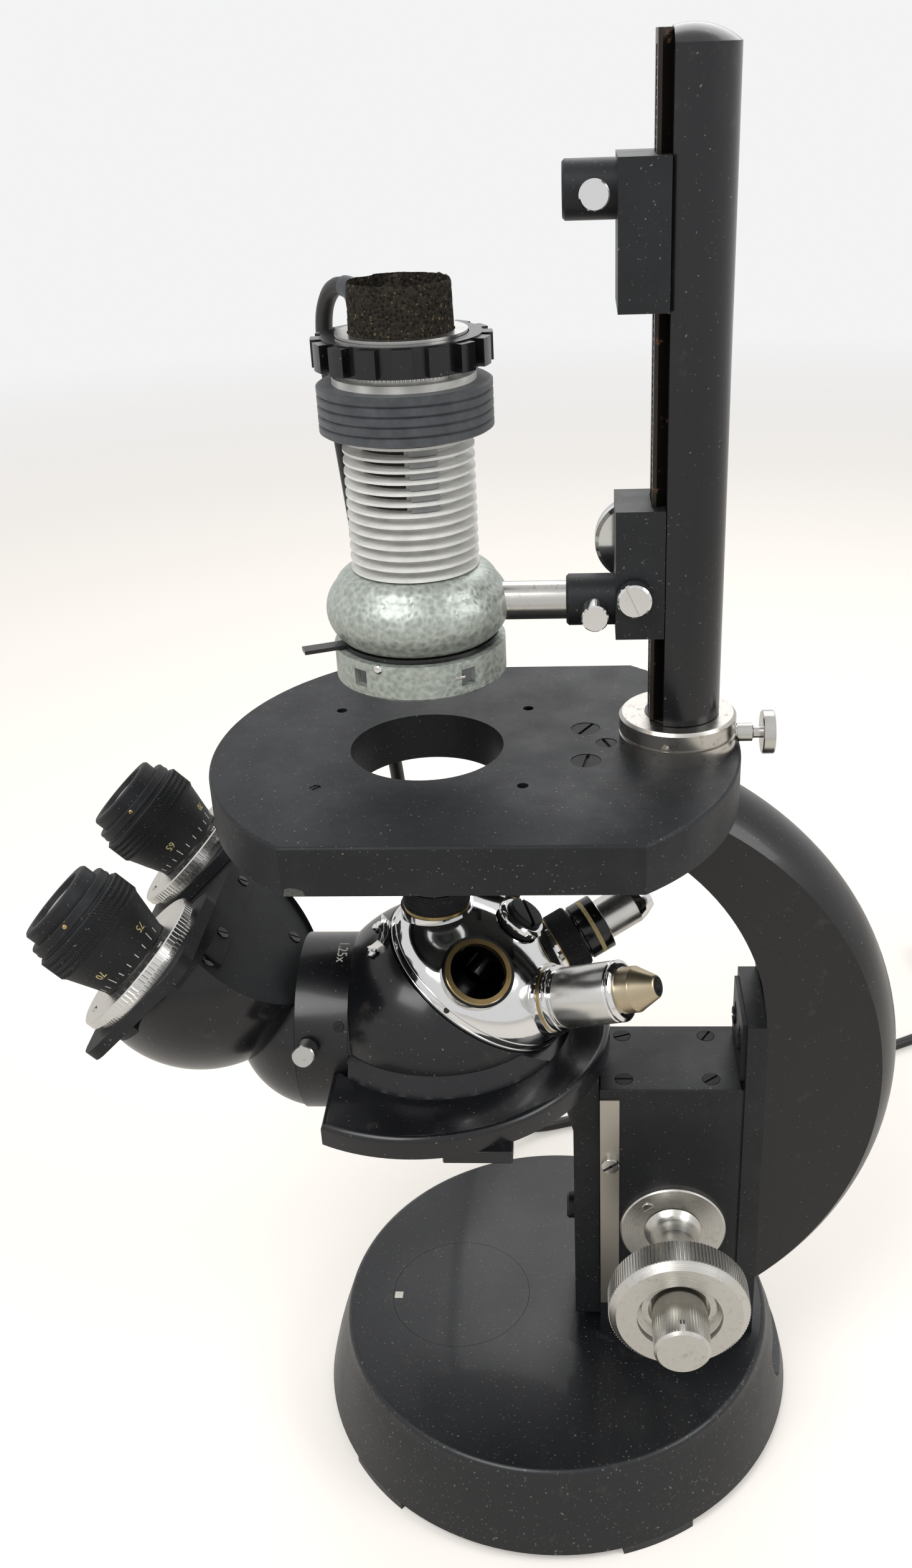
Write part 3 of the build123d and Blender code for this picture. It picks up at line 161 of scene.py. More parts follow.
def turnedPiece(name, profile, origin, axis, body, mats, soft=0.25, steps=96):
    # profile: (radius, height, number of the finish from here on), in millimetres
    outline = rounded(profile, soft)
    matrix = frameAlong(origin, axis)
    verts, faces, finish, rings = [], [], [], []
    for radius, height, *_ in outline:
        if radius < 1e-6:
            rings.append([len(verts)])
            verts.append((0, 0, height * mm))
            continue
        rings.append(list(range(len(verts), len(verts) + steps)))
        for k in range(steps):
            turn = 2 * math.pi * k / steps
            verts.append((radius * mm * math.cos(turn), radius * mm * math.sin(turn), height * mm))
    for number in range(len(rings) - 1):
        low, high = rings[number], rings[number + 1]
        band = outline[number][2] if len(outline[number]) > 2 else 0
        if len(low) == 1 and len(high) == 1:
            continue
        for k in range(steps):
            after = (k + 1) % steps
            corners = [low[k % len(low)], low[after % len(low)],
                       high[after % len(high)], high[k % len(high)]]
            faces.append(list(dict.fromkeys(corners)))
            finish.append(band)
    return makePiece(name, verts, faces, body, mats, finish, matrix=matrix)


def knurledBand(name, radius, low, high, teeth, depth, origin, axis, body, mats, cross=0):
    # straight ridges; cross makes that many rows of points from them. mats: ridge, groove
    matrix = frameAlong(origin, axis)
    rows = max(1, cross)
    verts = []
    levels = [low + (high - low) * k / rows for k in range(rows + 1)]
    parts = (-0.32, -0.12, 0.12, 0.32)
    count = teeth * len(parts)
    for row, height in enumerate(levels):
        for tooth in range(teeth):
            for number, part in enumerate(parts):
                turn = 2 * math.pi * (tooth + part + 0.5 * (row % 2) * bool(cross)) / teeth
                lift = depth if number in (1, 2) else 0.0
                r = (radius + lift) * mm
                verts.append((r * math.cos(turn), r * math.sin(turn), height * mm))
    faces = ringFaces(rows, count)
    finish = [1 if k % len(parts) == len(parts) - 1 else 0 for row in range(rows) for k in range(count)]
    for row, height, side in ((0, low, -1), (rows, high, 1)):
        start = len(verts)
        for k in range(count):
            x, y, z = verts[row * count + k]
            fall = (radius - 0.4) * mm / math.hypot(x, y)
            verts.append((x * fall, y * fall, z))
        for k in range(count):
            after = (k + 1) % count
            ring = (row * count + k, row * count + after, start + after, start + k)
            faces.append(ring if side > 0 else ring[::-1])
            finish.append(0)
    return makePiece(name, verts, faces, body, mats, finish, sharp=20, matrix=matrix)


def screwHead(name, radius, height, origin, axis, body, mat, turn=0, slot=0.16, crown=0.15):
    # a slotted head: two half discs with a sunk slot between them, closed all round
    matrix = frameAlong(origin, axis, turn)
    verts, faces = [], []
    half = radius * slot
    steps = 14
    sunk = 0.4

    def ring(side, r, z):
        start = math.asin(min(0.99, half / r))
        out = []
        for k in range(steps + 1):
            a = start + (math.pi - 2 * start) * k / steps
            out.append((r * math.cos(a) * mm, side * r * math.sin(a) * mm, z * mm))
        return out

    for side in (1, -1):
        levels = [ring(side, radius, -sunk), ring(side, radius, height - crown),
                  ring(side, radius - crown, height),
                  ring(side, (radius + half) * 0.55, height + crown * 0.4)]
        base = len(verts)
        for level in levels:
            verts.extend(level)
        width = steps + 1
        for row in range(len(levels) - 1):
            for k in range(steps):
                a = base + row * width + k
                quad = (a, a + 1, a + 1 + width, a + width)
                faces.append(quad if side > 0 else quad[::-1])
        top = [base + (len(levels) - 1) * width + k for k in range(width)]
        faces.append(top if side > 0 else top[::-1])
        wall = [base + row * width for row in range(len(levels))]
        wall += [base + row * width + steps for row in reversed(range(len(levels)))]
        faces.append(wall[::-1] if side > 0 else wall)
    reach = math.sqrt(radius ** 2 - half ** 2)
    floor = height * 0.45
    base = len(verts)
    for x, y in ((-reach, -half), (reach, -half), (reach, half), (-reach, half)):
        verts.append((x * mm, y * mm, floor * mm))
        verts.append((x * mm, y * mm, -sunk * mm))
    faces.append((base, base + 2, base + 4, base + 6))
    faces.append((base + 1, base + 7, base + 5, base + 3))
    for k in range(4):
        a, b = base + 2 * k, base + 2 * ((k + 1) % 4)
        faces.append((a, a + 1, b + 1, b))
    return makePiece(name, verts, faces, body, [mat], matrix=matrix)


def blockPiece(name, size, origin, matrix, body, mat, soft=0.3):
    # a small block with bevelled edges; size and origin are in the matrix's own millimetres
    half = Vector(size) * 0.5
    verts = []
    for sx in (-1, 1):
        for sy in (-1, 1):
            for sz in (-1, 1):
                verts.append((Vector((sx * half.x, sy * half.y, sz * half.z)) + Vector(origin)) * mm)
    faces = [(0, 1, 3, 2), (4, 6, 7, 5), (0, 4, 5, 1), (2, 3, 7, 6), (0, 2, 6, 4), (1, 5, 7, 3)]
    piece = makePiece(name, verts, faces, body, [mat], matrix=matrix)
    bevel = piece.modifiers.new("edges", "BEVEL")
    bevel.width = soft * mm
    bevel.segments = 2
    return piece


def loftPiece(name, rings, body, mat):
    # a closed piece through rings of four corners each
    verts = [spot for ring in rings for spot in ring]
    faces = []
    for k in range(len(rings) - 1):
        a, b = 4 * k, 4 * (k + 1)
        for p in range(4):
            q = (p + 1) % 4
            faces.append((a + q, a + p, b + p, b + q))
    last = 4 * (len(rings) - 1)
    faces.append((0, 1, 2, 3))
    faces.append((last + 3, last + 2, last + 1, last))
    return makePiece(name, verts, faces, body, [mat])


def curveMesh(curve):
    # the plain mesh of a curve or of lettering
    holder = bpy.data.objects.new("holder", curve)
    scene.collection.objects.link(holder)
    bpy.context.view_layer.update()
    graph = bpy.context.evaluated_depsgraph_get()
    mesh = bpy.data.meshes.new_from_object(holder.evaluated_get(graph))
    bpy.data.objects.remove(holder)
    return mesh


def engrave(name, words, size, bend, body, mat):
    # bend takes a point of the flat lettering, in millimetres, to its place on the piece
    curve = bpy.data.curves.new("words", "FONT")
    curve.body = words
    curve.size = size
    curve.align_x = "CENTER"
    curve.extrude = 0.06
    curve.resolution_u = 3
    mesh = curveMesh(curve)
    faces = [list(p.vertices) for p in mesh.polygons]
    makePiece(name, [bend(v.co) for v in mesh.vertices], faces, body, [mat])
    bpy.data.meshes.remove(mesh)


# Camera, solved from the photograph

view = {
    "place": (13.68, -450.0, 505.13),
    "pitchDown": 26.895,
    "yaw": -3.526,
    "roll": 2.132,
    "focalPixels": 2356.45,
    "centrePixel": 808.3,
    "imageWidth": 1465,
    "imageHeight": 2520,
}


def makeCamera():
    data = bpy.data.cameras.new("camera")
    data.sensor_fit = "AUTO"
    data.sensor_width = 36.0
    data.lens = view["focalPixels"] * data.sensor_width / view["imageHeight"]
    data.shift_x = -(view["centrePixel"] - view["imageWidth"] / 2) / view["imageHeight"]
    data.clip_start = 0.01
    data.clip_end = 50
    camera = bpy.data.objects.new("camera", data)
    scene.collection.objects.link(camera)
    pitch, yaw, roll = (math.radians(view[key]) for key in ("pitchDown", "yaw", "roll"))
    ahead = Vector((math.sin(yaw) * math.cos(pitch), math.cos(yaw) * math.cos(pitch),
                    -math.sin(pitch)))
    level = Vector((math.cos(yaw), -math.sin(yaw), 0))
    down = ahead.cross(level)
    right = level * math.cos(roll) + down * math.sin(roll)
    down = down * math.cos(roll) - level * math.sin(roll)
    turn = Matrix((right, -down, -ahead)).transposed().to_4x4()
    camera.matrix_world = Matrix.Translation(place(*view["place"])) @ turn
    scene.camera = camera


makeCamera()


# Lamp cord: the route goes from the gland over the lamp's side to the floor, then coils

cordSizes = {
    "radius": 2.75,
    "length": 1.75,
    "sides": 12,
    "coilCentre": (258.0, 262.0),
    "turns": 5,
    "stepsPerTurn": 10,
    "startTurn": 190.0,
    "coilRadius": 28.2,
    "turnStep": 4.2,
    "wander": 0.4,
    "layHeight": 3.0,
    "layerRise": 5.4,
    "bootRadius": 4.1,
    "bootPoints": 11,
}
cordRoute = [
    (-52.9, 11.3, 430.5), (-53.0, 11.5, 437.0), (-57.0, 16.0, 440.0), (-63.5, 23.0, 438.5),
    (-68.0, 29.5, 428.0), (-68.5, 37.5, 409.0), (-67.5, 47.0, 383.0), (-66.5, 58.0, 348.0),
    (-66.0, 69.0, 314.0), (-65.0, 79.0, 279.0), (-63.0, 86.0, 240.0), (-60.0, 92.0, 197.0),
    (-56.0, 99.0, 152.0), (-51.0, 107.0, 106.0), (-45.0, 118.0, 60.0), (-36.0, 130.0, 24.0),
    (-18.0, 143.0, 3.0), (14.0, 154.0, 3.0), (50.0, 160.0, 3.0), (88.0, 171.0, 3.0),
    (124.0, 189.0, 3.0), (160.0, 204.0, 3.0), (196.0, 221.0, 3.0),
]
cordLeadIn = [(213.0, 233.0, 3.0), (224.0, 247.0, 3.0)]
cordTail = [(223.0, 284.0, 13.6), (219.0, 299.0, 12.8), (224.5, 309.6, 12.75), (240.0, 310.3, 12.75)]


def cordPoints():
    # the coil lies in three layers of an outer and an inner turn, none quite like the next
    random.seed(7)
    points = cordRoute + cordLeadIn
    cx, cy = cordSizes["coilCentre"]
    total = cordSizes["turns"] * cordSizes["stepsPerTurn"]
    for k in range(total + 1):
        turns = k / cordSizes["stepsPerTurn"]
        layer = turns / 2
        climbed = math.floor(layer) + max(0, (layer % 1) * 4 - 3)
        radius = cordSizes["coilRadius"] + cordSizes["turnStep"] * abs((turns % 2) - 1)
        radius += random.uniform(-cordSizes["wander"], cordSizes["wander"])
        height = cordSizes["layHeight"] + cordSizes["layerRise"] * min(2, climbed)
        angle = math.radians(cordSizes["startTurn"] - 360 * turns)
        points.append((cx + radius * math.cos(angle), cy + radius * math.sin(angle), height))
    return points + cordTail


def smoothLine(points):
    # the line that a spline with these control points follows
    curve = bpy.data.curves.new("route", "CURVE")
    curve.dimensions = "3D"
    curve.resolution_u = 6
    spline = curve.splines.new("NURBS")
    spline.points.add(len(points) - 1)
    for point, spot in zip(spline.points, points):
        point.co = (*place(*spot), 1)
    spline.order_u = 3
    spline.use_endpoint_u = True
    mesh = curveMesh(curve)
    line = [v.co.copy() for v in mesh.vertices]
    bpy.data.meshes.remove(mesh)
    return line


def tubeAlong(name, line, radius, sides, mats, thin=1.0):
    # thin is how much of the radius is left at the far end
    verts = []
    up = Vector((1, 0, 0))
    full = radius
    for number, spot in enumerate(line):
        radius = full * (1 + (thin - 1) * number / (len(line) - 1))
        ahead = (line[min(number + 1, len(line) - 1)] - line[max(number - 1, 0)]).normalized()
        up = (up - ahead * up.dot(ahead)).normalized()
        side = ahead.cross(up)
        for k in range(sides):
            turn = 2 * math.pi * k / sides
            verts.append(spot + (up * math.cos(turn) + side * math.sin(turn)) * radius)
    faces = ringFaces(len(line) - 1, sides)
    faces.append(list(range(sides))[::-1])
    faces.append([len(verts) - sides + k for k in range(sides)])
    return makePiece(name, verts, faces, None, mats, sharp=50)


# Materials. Each is named for what the real surface is, or for the painted shade or highlight it stands for

def noiseAt(mat, where, size, detail, rough=0.5):
    # size is about the width of its features, in millimetres
    return addNode(mat, "TexNoise", {"Vector": where, "Scale": perMetre(size), "Detail": detail,
                                     "Roughness": rough}).outputs[0]


def rampOf(mat, source, *stops):
    return addNode(mat, "ValToRGB", {0: source}, stops=stops).outputs[0]


def setColour(mat, shader, colour):
    mat.node_tree.links.new(colour, shader.inputs["Base Color"])


def setRoughness(mat, shader, source, first, last, span=(0.3, 0.7)):
    # span is the part of the source that runs from the first roughness to the last
    level = addNode(mat, "MapRange", {0: source, 1: span[0], 2: span[1], 3: first, 4: last})
    mat.node_tree.links.new(level.outputs[0], shader.inputs["Roughness"])


def setBump(mat, shader, height, strength, depth):
    bump = addNode(mat, "Bump", {"Strength": strength, "Distance": depth * mm, "Height": height})
    mat.node_tree.links.new(bump.outputs[0], shader.inputs["Normal"])


def dustSpecks(mat, where, size, share):
    # fine pale dust, drawn a little coarser than real so that it shows
    return rampOf(mat, noiseAt(mat, where, size, 2.0), (1 - share, 0.0), (1 - share * 0.8, 1.0))


def stovedEnamel(name, tone, rough, worn="#4a4641", dust=0.30, peel=0.02):
    # stoved black enamel on castings: deep, softly mirror-like, a little orange peel and dust
    mat, shader, where = newMaterial(name, Coat_Weight=0.15, Coat_Roughness=0.1, Specular_IOR_Level=0.38)
    patch = rampOf(mat, noiseAt(mat, where, 9, 8.0, 0.7), (0.60, 0.0), (0.78, 0.55))
    base = mixColours(mat, patch, tone, worn)
    setColour(mat, shader, mixColours(mat, dustSpecks(mat, where, 1.1, dust), base, "#6e6a63"))
    setRoughness(mat, shader, noiseAt(mat, where, 45, 5.0), rough - 0.07, rough + 0.10)
    setBump(mat, shader, noiseAt(mat, where, 1.6, 3.0), 0.25, peel)
    return mat


def crackleBlack(name, tone, rough, grain=0.5, depth=0.03):
    # matt black lacquer on machined plates: fine grain, grey where hands have polished it
    mat, shader, where = newMaterial(name, Specular_IOR_Level=0.3)
    cloud = noiseAt(mat, where, 22, 7.0, 0.65)
    patch = rampOf(mat, cloud, (0.45, 0.0), (0.75, 0.8))
    base = mixColours(mat, patch, tone, "#232528")
    setColour(mat, shader, mixColours(mat, dustSpecks(mat, where, 0.9, 0.31), base, "#77736c"))
    setRoughness(mat, shader, cloud, rough + 0.06, rough - 0.08)
    setBump(mat, shader, noiseAt(mat, where, grain, 2.0), 0.5, depth)
    return mat


def platedMetal(name, tone, rough, stain="#8a8378", spots=0.30, spread=0.06):
    # plated or polished metal: bright, with finger haze and small dull stains
    mat, shader, where = newMaterial(name, Metallic=1.0)
    dull = rampOf(mat, noiseAt(mat, where, 2.2, 6.0, 0.7), (0.58, 0.0), (0.80, spots))
    setColour(mat, shader, mixColours(mat, dull, tone, stain))
    setRoughness(mat, shader, noiseAt(mat, where, 7, 6.0), rough, rough + spread, span=(0.35, 0.7))
    return mat


def turnedSteel(name, tone, rough, centre, across, stain="#7d7468", spots=0.5, ringSize=0.35):
    # metal turned on a lathe: fine rings about its own axis, stains and dark specks
    mat, shader, where = newMaterial(name, Metallic=1.0)
    arm = addNode(mat, "VectorMath", {0: where, 1: place(*centre)}, operation="SUBTRACT")
    flat = addNode(mat, "VectorMath", {0: arm.outputs[0], 1: across}, operation="MULTIPLY")
    radius = addNode(mat, "VectorMath", {0: flat.outputs[0]}, operation="LENGTH")
    rings = addNode(mat, "TexNoise", {"W": radius.outputs["Value"], "Scale": perMetre(ringSize),
                                      "Detail": 3.0}, noise_dimensions="1D").outputs[0]
    dull = rampOf(mat, noiseAt(mat, where, 3.0, 8.0, 0.75), (0.54, 0.0), (0.72, spots))
    setColour(mat, shader, mixColours(mat, dull, tone, stain))
    setRoughness(mat, shader, rings, rough - 0.06, rough + 0.10)
    setBump(mat, shader, rings, 0.35, 0.01)
    return mat


def rustySteel(name, tone, rough, share):
    # bare steel that has started to rust: orange-brown bloom over grey
    mat, shader, where = newMaterial(name)
    rust = rampOf(mat, noiseAt(mat, where, 4.5, 9.0, 0.72), (0.62 - share, 0.0), (0.70 - share * 0.6, 1.0))
    brown = mixColours(mat, noiseAt(mat, where, 0.8, 4.0), "#4d2f1c", "#9a6a3f")
    setColour(mat, shader, mixColours(mat, rust, tone, brown))
    metal = addNode(mat, "MapRange", {0: rust, 3: 1.0, 4: 0.1})
    mat.node_tree.links.new(metal.outputs[0], shader.inputs["Metallic"])
    setRoughness(mat, shader, rust, rough, 0.75, span=(0.0, 1.0))
    return mat


def hammeredPaint():
    # silver-green hammer paint: cells of 2 to 3 mm, each a shallow glossy dish
    mat, shader, where = newMaterial("hammer_paint", Metallic=0.45)
    warp = addNode(mat, "TexNoise", {"Vector": where, "Scale": perMetre(5), "Detail": 2.0})
    bent = addNode(mat, "VectorMath", {0: warp.outputs[1], 1: (0.0025, 0.0025, 0.0025), 2: where},
                   operation="MULTIPLY_ADD")
    cells = addNode(mat, "TexVoronoi", {"Vector": bent.outputs[0], "Scale": perMetre(1.9)},
                    feature="SMOOTH_F1")
    cells.inputs["Smoothness"].default_value = 0.5
    tone = rampOf(mat, cells.outputs[0], (0.15, 0.0), (0.75, 1.0))
    cell = mixColours(mat, tone, "#99a199", "#bcc2bb")
    light = addNode(mat, "MapRange", {0: noiseAt(mat, where, 1.3, 6.0), 1: 0.40, 2: 0.75,
                                      3: 0.0, 4: 0.6})
    setColour(mat, shader, mixColours(mat, light.outputs[0], cell, "#868e86"))
    setRoughness(mat, shader, tone, 0.28, 0.48, span=(0.0, 1.0))
    setBump(mat, shader, cells.outputs[0], 0.55, 0.25)
    return mat


def softPlain(name, tone, second, rough, size, depth, sheen=0.0, coat=0.0):
    # moulded rubber, plastic or baked white paint: an even colour with a faint mottle
    mat, shader, where = newMaterial(name, Sheen_Weight=sheen, Coat_Weight=coat, Coat_Roughness=0.1)
    cloud = noiseAt(mat, where, size, 7.0, 0.65)
    patch = rampOf(mat, cloud, (0.38, 0.0), (0.72, 1.0))
    setColour(mat, shader, mixColours(mat, patch, tone, second))
    setRoughness(mat, shader, cloud, rough - 0.06, rough + 0.08)
    setBump(mat, shader, noiseAt(mat, where, 0.5, 3.0), 0.4, depth)
    return mat


def foamRubber():
    # open-celled foam rubber gone brown with age: dead matt, pitted, with tan crumbs; the pits are painted
    # darker, as painted shade
    mat, shader, where = newMaterial("aged_foam_rubber", Roughness=0.95, Specular_IOR_Level=0.2)
    cells = addNode(mat, "TexVoronoi", {"Vector": where, "Scale": perMetre(1.1)}).outputs[0]
    # painted shade: a darker colour in the pits that the bump sinks
    pitShade = rampOf(mat, cells, (0.15, 0.0), (0.6, 1.0))
    crumbs = rampOf(mat, noiseAt(mat, where, 1.0, 2.0), (0.66, 0.0), (0.70, 1.0))
    base = mixColours(mat, pitShade, "#0d0c0b", "#2f2b25")
    setColour(mat, shader, mixColours(mat, crumbs, base, "#75654a"))
    setBump(mat, shader, cells, 0.9, 0.5)
    return mat


def clearGlass(name, tone):
    # ground and bloomed lens glass: dark, with a faint violet sheen
    mat, shader, where = newMaterial(name, Transmission_Weight=0.6, IOR=1.52, Roughness=0.02)
    setColour(mat, shader, mixColours(mat, noiseAt(mat, where, 6, 3.0), tone, "#6b6480"))
    return mat


enamel = stovedEnamel("stoved_black_enamel", "#121316", 0.26)
enamelWorn = stovedEnamel("stoved_black_enamel_worn", "#15171a", 0.36, dust=0.34)
# the arm's enamel is a darker copy of the same enamel: painted shade
armEnamelShadedCopy = stovedEnamel("stoved_black_enamel_arm_painted_shade", "#08090a", 0.30)
stageBlack = crackleBlack("stage_black_lacquer", "#16181b", 0.50)
plateBlack = crackleBlack("plate_black_lacquer", "#17191b", 0.46, grain=0.8)
coverBlack = crackleBlack("sanded_black_lacquer", "#2b2d2f", 0.62, grain=0.35)
mattBlack = crackleBlack("matt_black_anodised_aluminium", "#161719", 0.58)
bakelite = stovedEnamel("black_phenolic", "#101113", 0.22, worn="#2b2723", peel=0.01)
chrome = platedMetal("polished_chrome", "#d9d9d8", 0.06)
satinChrome = platedMetal("satin_chrome", "#d0cfcb", 0.24, spots=0.2)
brightSteel = platedMetal("bright_steel", "#bdbbb6", 0.20, stain="#6f5f4d", spots=0.7)
dullBrass = platedMetal("tarnished_brass", "#b49a6a", 0.28, stain="#6b5433", spots=0.8)
paleAlloy = platedMetal("pale_bronze", "#b3a68c", 0.32, stain="#80755f")
# one dark colour for the floors of the knurl grooves and for the painted shade of the vent slots and index
# notches
darkGrooveAndShade = crackleBlack("dark_groove_and_painted_shade", "#2a2622", 0.65)
knobSteel = turnedSteel("turned_aluminium_knob", "#c4c2bc", 0.30, (46.3, 0, 94.5), (1, 0, 1))
ringSteel = turnedSteel("turned_steel_ring", "#b9b6b0", 0.28, (45.2, 0, 297), (1, 1, 0),
                        stain="#7a5b3d", spots=0.9)
railSteel = rustySteel("browned_rail_steel", "#3a3531", 0.42, 0.02)
gibSteel = rustySteel("stained_gib_steel", "#b1aca2", 0.38, -0.04)
hammer = hammeredPaint()
whitePaint = softPlain("white_baked_enamel", "#e9e9e6", "#d3d4d2", 0.34, 6.0, 0.01, coat=0.2)
greyPaint = softPlain("grey_baked_enamel", "#8f9192", "#7a7c7d", 0.40, 6.0, 0.01)
rubber = softPlain("slate_rubber", "#33373c", "#4a4e52", 0.62, 5.0, 0.04, sheen=0.2)
sponge = foamRubber()
cordRubber = softPlain("black_rubber_cord", "#141414", "#222222", 0.42, 8.0, 0.02)
plugPlastic = softPlain("black_moulded_plug", "#171717", "#242424", 0.34, 6.0, 0.02, coat=0.2)
chipGrey = softPlain("chipped_lacquer", "#3a3b3c", "#56564f", 0.45, 0.8, 0.0)
# pale grey for the painted highlight along the housing's seam
seamHighlight = softPlain("painted_seam_highlight", "#85837c", "#4b4a46", 0.6, 1.0, 0.0)
scaleWhite = softPlain("white_filled_engraving", "#dcdad2", "#c2beb0", 0.6, 1.0, 0.0)
scaleCream = softPlain("cream_filled_engraving", "#d3c48f", "#b8a672", 0.6, 1.0, 0.0)
lensGlass = clearGlass("bloomed_lens_glass", "#0c0c14")
clearBulb = clearGlass("clear_glass", "#d8d8d8")

finishes = {
    armEnamelShadedCopy: ["arm"],
    enamel: ["yoke", "ball_housing", "tube_ring", "head_shell", "column"],
    enamelWorn: ["base", "base_port_cover"],
    stageBlack: ["stage"],
    plateBlack: ["block_cap", "arm_plate", "slot_plate", "focus_slide", "lower_carrier",
                 "upper_carrier", "focus_block"],
    coverBlack: ["head_cover"],
    mattBlack: ["slide_base", "near_carriage", "far_carriage", "near_eyepiece",
                "far_eyepiece", "block_screws", "stage_screws", "pivot_plug", "seat_plug"],
    bakelite: ["centring_nut", "diaphragm_lever"],
    chrome: ["turret_dome", "drive_wheel", "clamp_screw", "lower_socket_screw",
             "upper_socket_screw"],
    brightSteel: ["lamp_rod", "tube_screw", "ring_screw", "pinion_shaft"],
    knobSteel: ["coarse_knobs", "fine_knobs", "knob_flanges"],
    ringSteel: ["column_ring"],
    railSteel: ["rack_rail"],
    gibSteel: ["guide_gib"],
    dullBrass: ["seat_rings"],
    hammer: ["lamp_body"],
    whitePaint: ["lamp_fins"],
    rubber: ["rubber_grip", "cord_gland"],
    sponge: ["foam_plug"],
    plugPlastic: ["cord_plug"],
    cordRubber: ["lamp_cord", "cord_coil"],
    clearBulb: ["condenser_lens", "lamp_bulb"],
    satinChrome: ["near_disc", "far_disc", "lamp_socket", "objective_short",
                  "objective_bright", "objective_dark"],
}


def finishNodes():
    for mat, names in finishes.items():
        for name in names:
            piece = nodes[name]
            piece.data.materials.clear()
            piece.data.materials.append(mat)
            piece.data.polygons.foreach_set("use_smooth", [True] * len(piece.data.polygons))
            weld = piece.modifiers.new("weld", "WELD")
            weld.merge_threshold = 0.002 * mm
            split = piece.modifiers.new("edges", "EDGE_SPLIT")
            split.split_angle = math.radians(28)
    left = [name for name in nodes if not any(name in names for names in finishes.values())]
    print("finished", len(nodes) - len(left), "nodes; left", left)


finishNodes()


def makeCord():
    line = smoothLine(cordPoints())
    cord = tubeAlong("lamp_cord_tube", line, cordSizes["radius"] * mm, cordSizes["sides"], [cordRubber])
    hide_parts("lamp_cord", "cord_coil")
    length = sum((b - a).length for a, b in zip(line, line[1:]))
    print("cord line", round(length, 3), "m")
    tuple(line[0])
    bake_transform(cord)
    boot = tubeAlong("cord_boot", line[:cordSizes["bootPoints"]], cordSizes["bootRadius"] * mm, 24,
                     [rubber], thin=0.78)
    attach(boot, "lamp")
    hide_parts("cord_gland")


makeCord()
print("cord laid")


# Places that several pieces share, worked out from the frame where it gives them

halfRoot = math.sqrt(0.5)
eyeAxis = Vector((-halfRoot, 0, halfRoot))
coverAxis = Vector((halfRoot, 0, halfRoot))
knobAxis = Vector((0, 1, 0))
lampAxis = Vector((0, 0, 1))
lampCentre = (-39.5, 0.0)
turret = {"centre": (-39.5, 0.0, 180.3), "tilt": math.radians(36.1), "seats": 5, "seatR": 48.8}
turretAxis = Vector((math.sin(turret["tilt"]), 0, math.cos(turret["tilt"])))
turretCentre = place(*turret["centre"])


def headPoint(t, y, e):
    # t runs towards the cover, e towards the eyes
    return place(halfRoot * (t - e), y, halfRoot * (t + e))


def seatAxis(number):
    turn = math.radians(360 / turret["seats"] * number)
    return Matrix.Rotation(turn, 3, turretAxis) @ Vector((0, 0, 1))


# Focus knobs: knurled rims over the turned discs

knobs = {
    "axisX": 46.3, "axisZ": 94.5, "flangeFace": 22.7, "flangeScrewAt": 14.8, "flangeScrewR": 2.4,
    "flangeTurns": (130, -50),
    "knurls": (("coarse", 25.25, 54.2, 63.4, 120, 0.35), ("fine", 9.95, 68.0, 80.6, 56, 0.2)),
}


def makeKnobDetail():
    centre = place(knobs["axisX"], 0, knobs["axisZ"])
    for side, word in ((-1, "near_"), (1, "far_")):
        axis = knobAxis * side
        for part, radius, low, high, teeth, depth in knobs["knurls"]:
            knurledBand(word + part + "_knurl", radius, low, high, teeth, depth, centre, axis,
                        part + "_knobs", [knobSteel, darkGrooveAndShade])
        for turn in knobs["flangeTurns"]:
            angle = math.radians(turn)
            spot = Vector((math.cos(angle), 0, math.sin(angle))) * knobs["flangeScrewAt"] * mm
            screwHead(word + "flange_screw_" + str(turn % 360), knobs["flangeScrewR"], 0.5,
                      centre + spot + axis * knobs["flangeFace"] * mm, axis, "stand", brightSteel, turn=35)


makeKnobDetail()

# Eyepieces: knurled bands, engraved scales, eye lenses and the knurled carriage rings

eyes = {
    "t": 65.1, "spacing": 39.5, "coneLow": 262.8, "coneTop": 275.9, "coneLowR": 14.5, "coneTopR": 18.5,
    "firstTick": 55, "lastTick": 76, "zeroTick": 70, "zeroTurn": {-1: -94.0, 1: 0.0}, "tickTurn": 15.0,
    "tickLow": 263.4, "tickTop": 265.3, "longTickTop": 266.4, "tickHalf": 0.55,
    "numberSize": 3.6, "numberTop": 270.4, "numberR": 16.5, "dotTurn": -70, "dotE": 288.9, "dotR": 17.5,
    "rivetTurns": (-150, -30, 150), "rivetE": 261.6, "rivetR": 21.0,
    "knurls": (("_ring_knurl", 25.9, 258.5, 261.2, 96, 0.3, 0),
               ("_ring_knurl_low", 23.7, 256.0, 258.3, 90, 0.3, 0),
               ("_sleeve_knurl", 18.9, 276.9, 285.0, 100, 0.35, 8)),
}
lensOutline = [(0, 293.2), (10.3, 293.2), (10.3, 293.5), (8.0, 293.9), (5.0, 294.2), (0, 294.4)]
capRibOutline = [(17.3, 286.6), (17.75, 286.9), (17.75, 287.9), (17.3, 288.2)]
capDotOutline = [(0, -0.5), (0.75, -0.5), (0.75, 0.05), (0.45, 0.15), (0, 0.18)]
ringRivetOutline = [(0, -0.3), (1.2, -0.3), (1.2, 0.2), (0.8, 0.42), (0, 0.5)]


def aroundEye(side, e, turn, radius):
    # a place round an eyepiece's axis, and the way out from the axis there
    angle = math.radians(turn)
    outward = coverAxis * math.cos(angle) + knobAxis * math.sin(angle)
    return headPoint(eyes["t"], side * eyes["spacing"], e) + outward * radius * mm, outward


def conePoint(side, turn, e, lift):
    share = (e - eyes["coneLow"]) / (eyes["coneTop"] - eyes["coneLow"])
    radius = eyes["coneLowR"] + share * (eyes["coneTopR"] - eyes["coneLowR"]) + lift
    return aroundEye(side, e, turn, radius)[0]


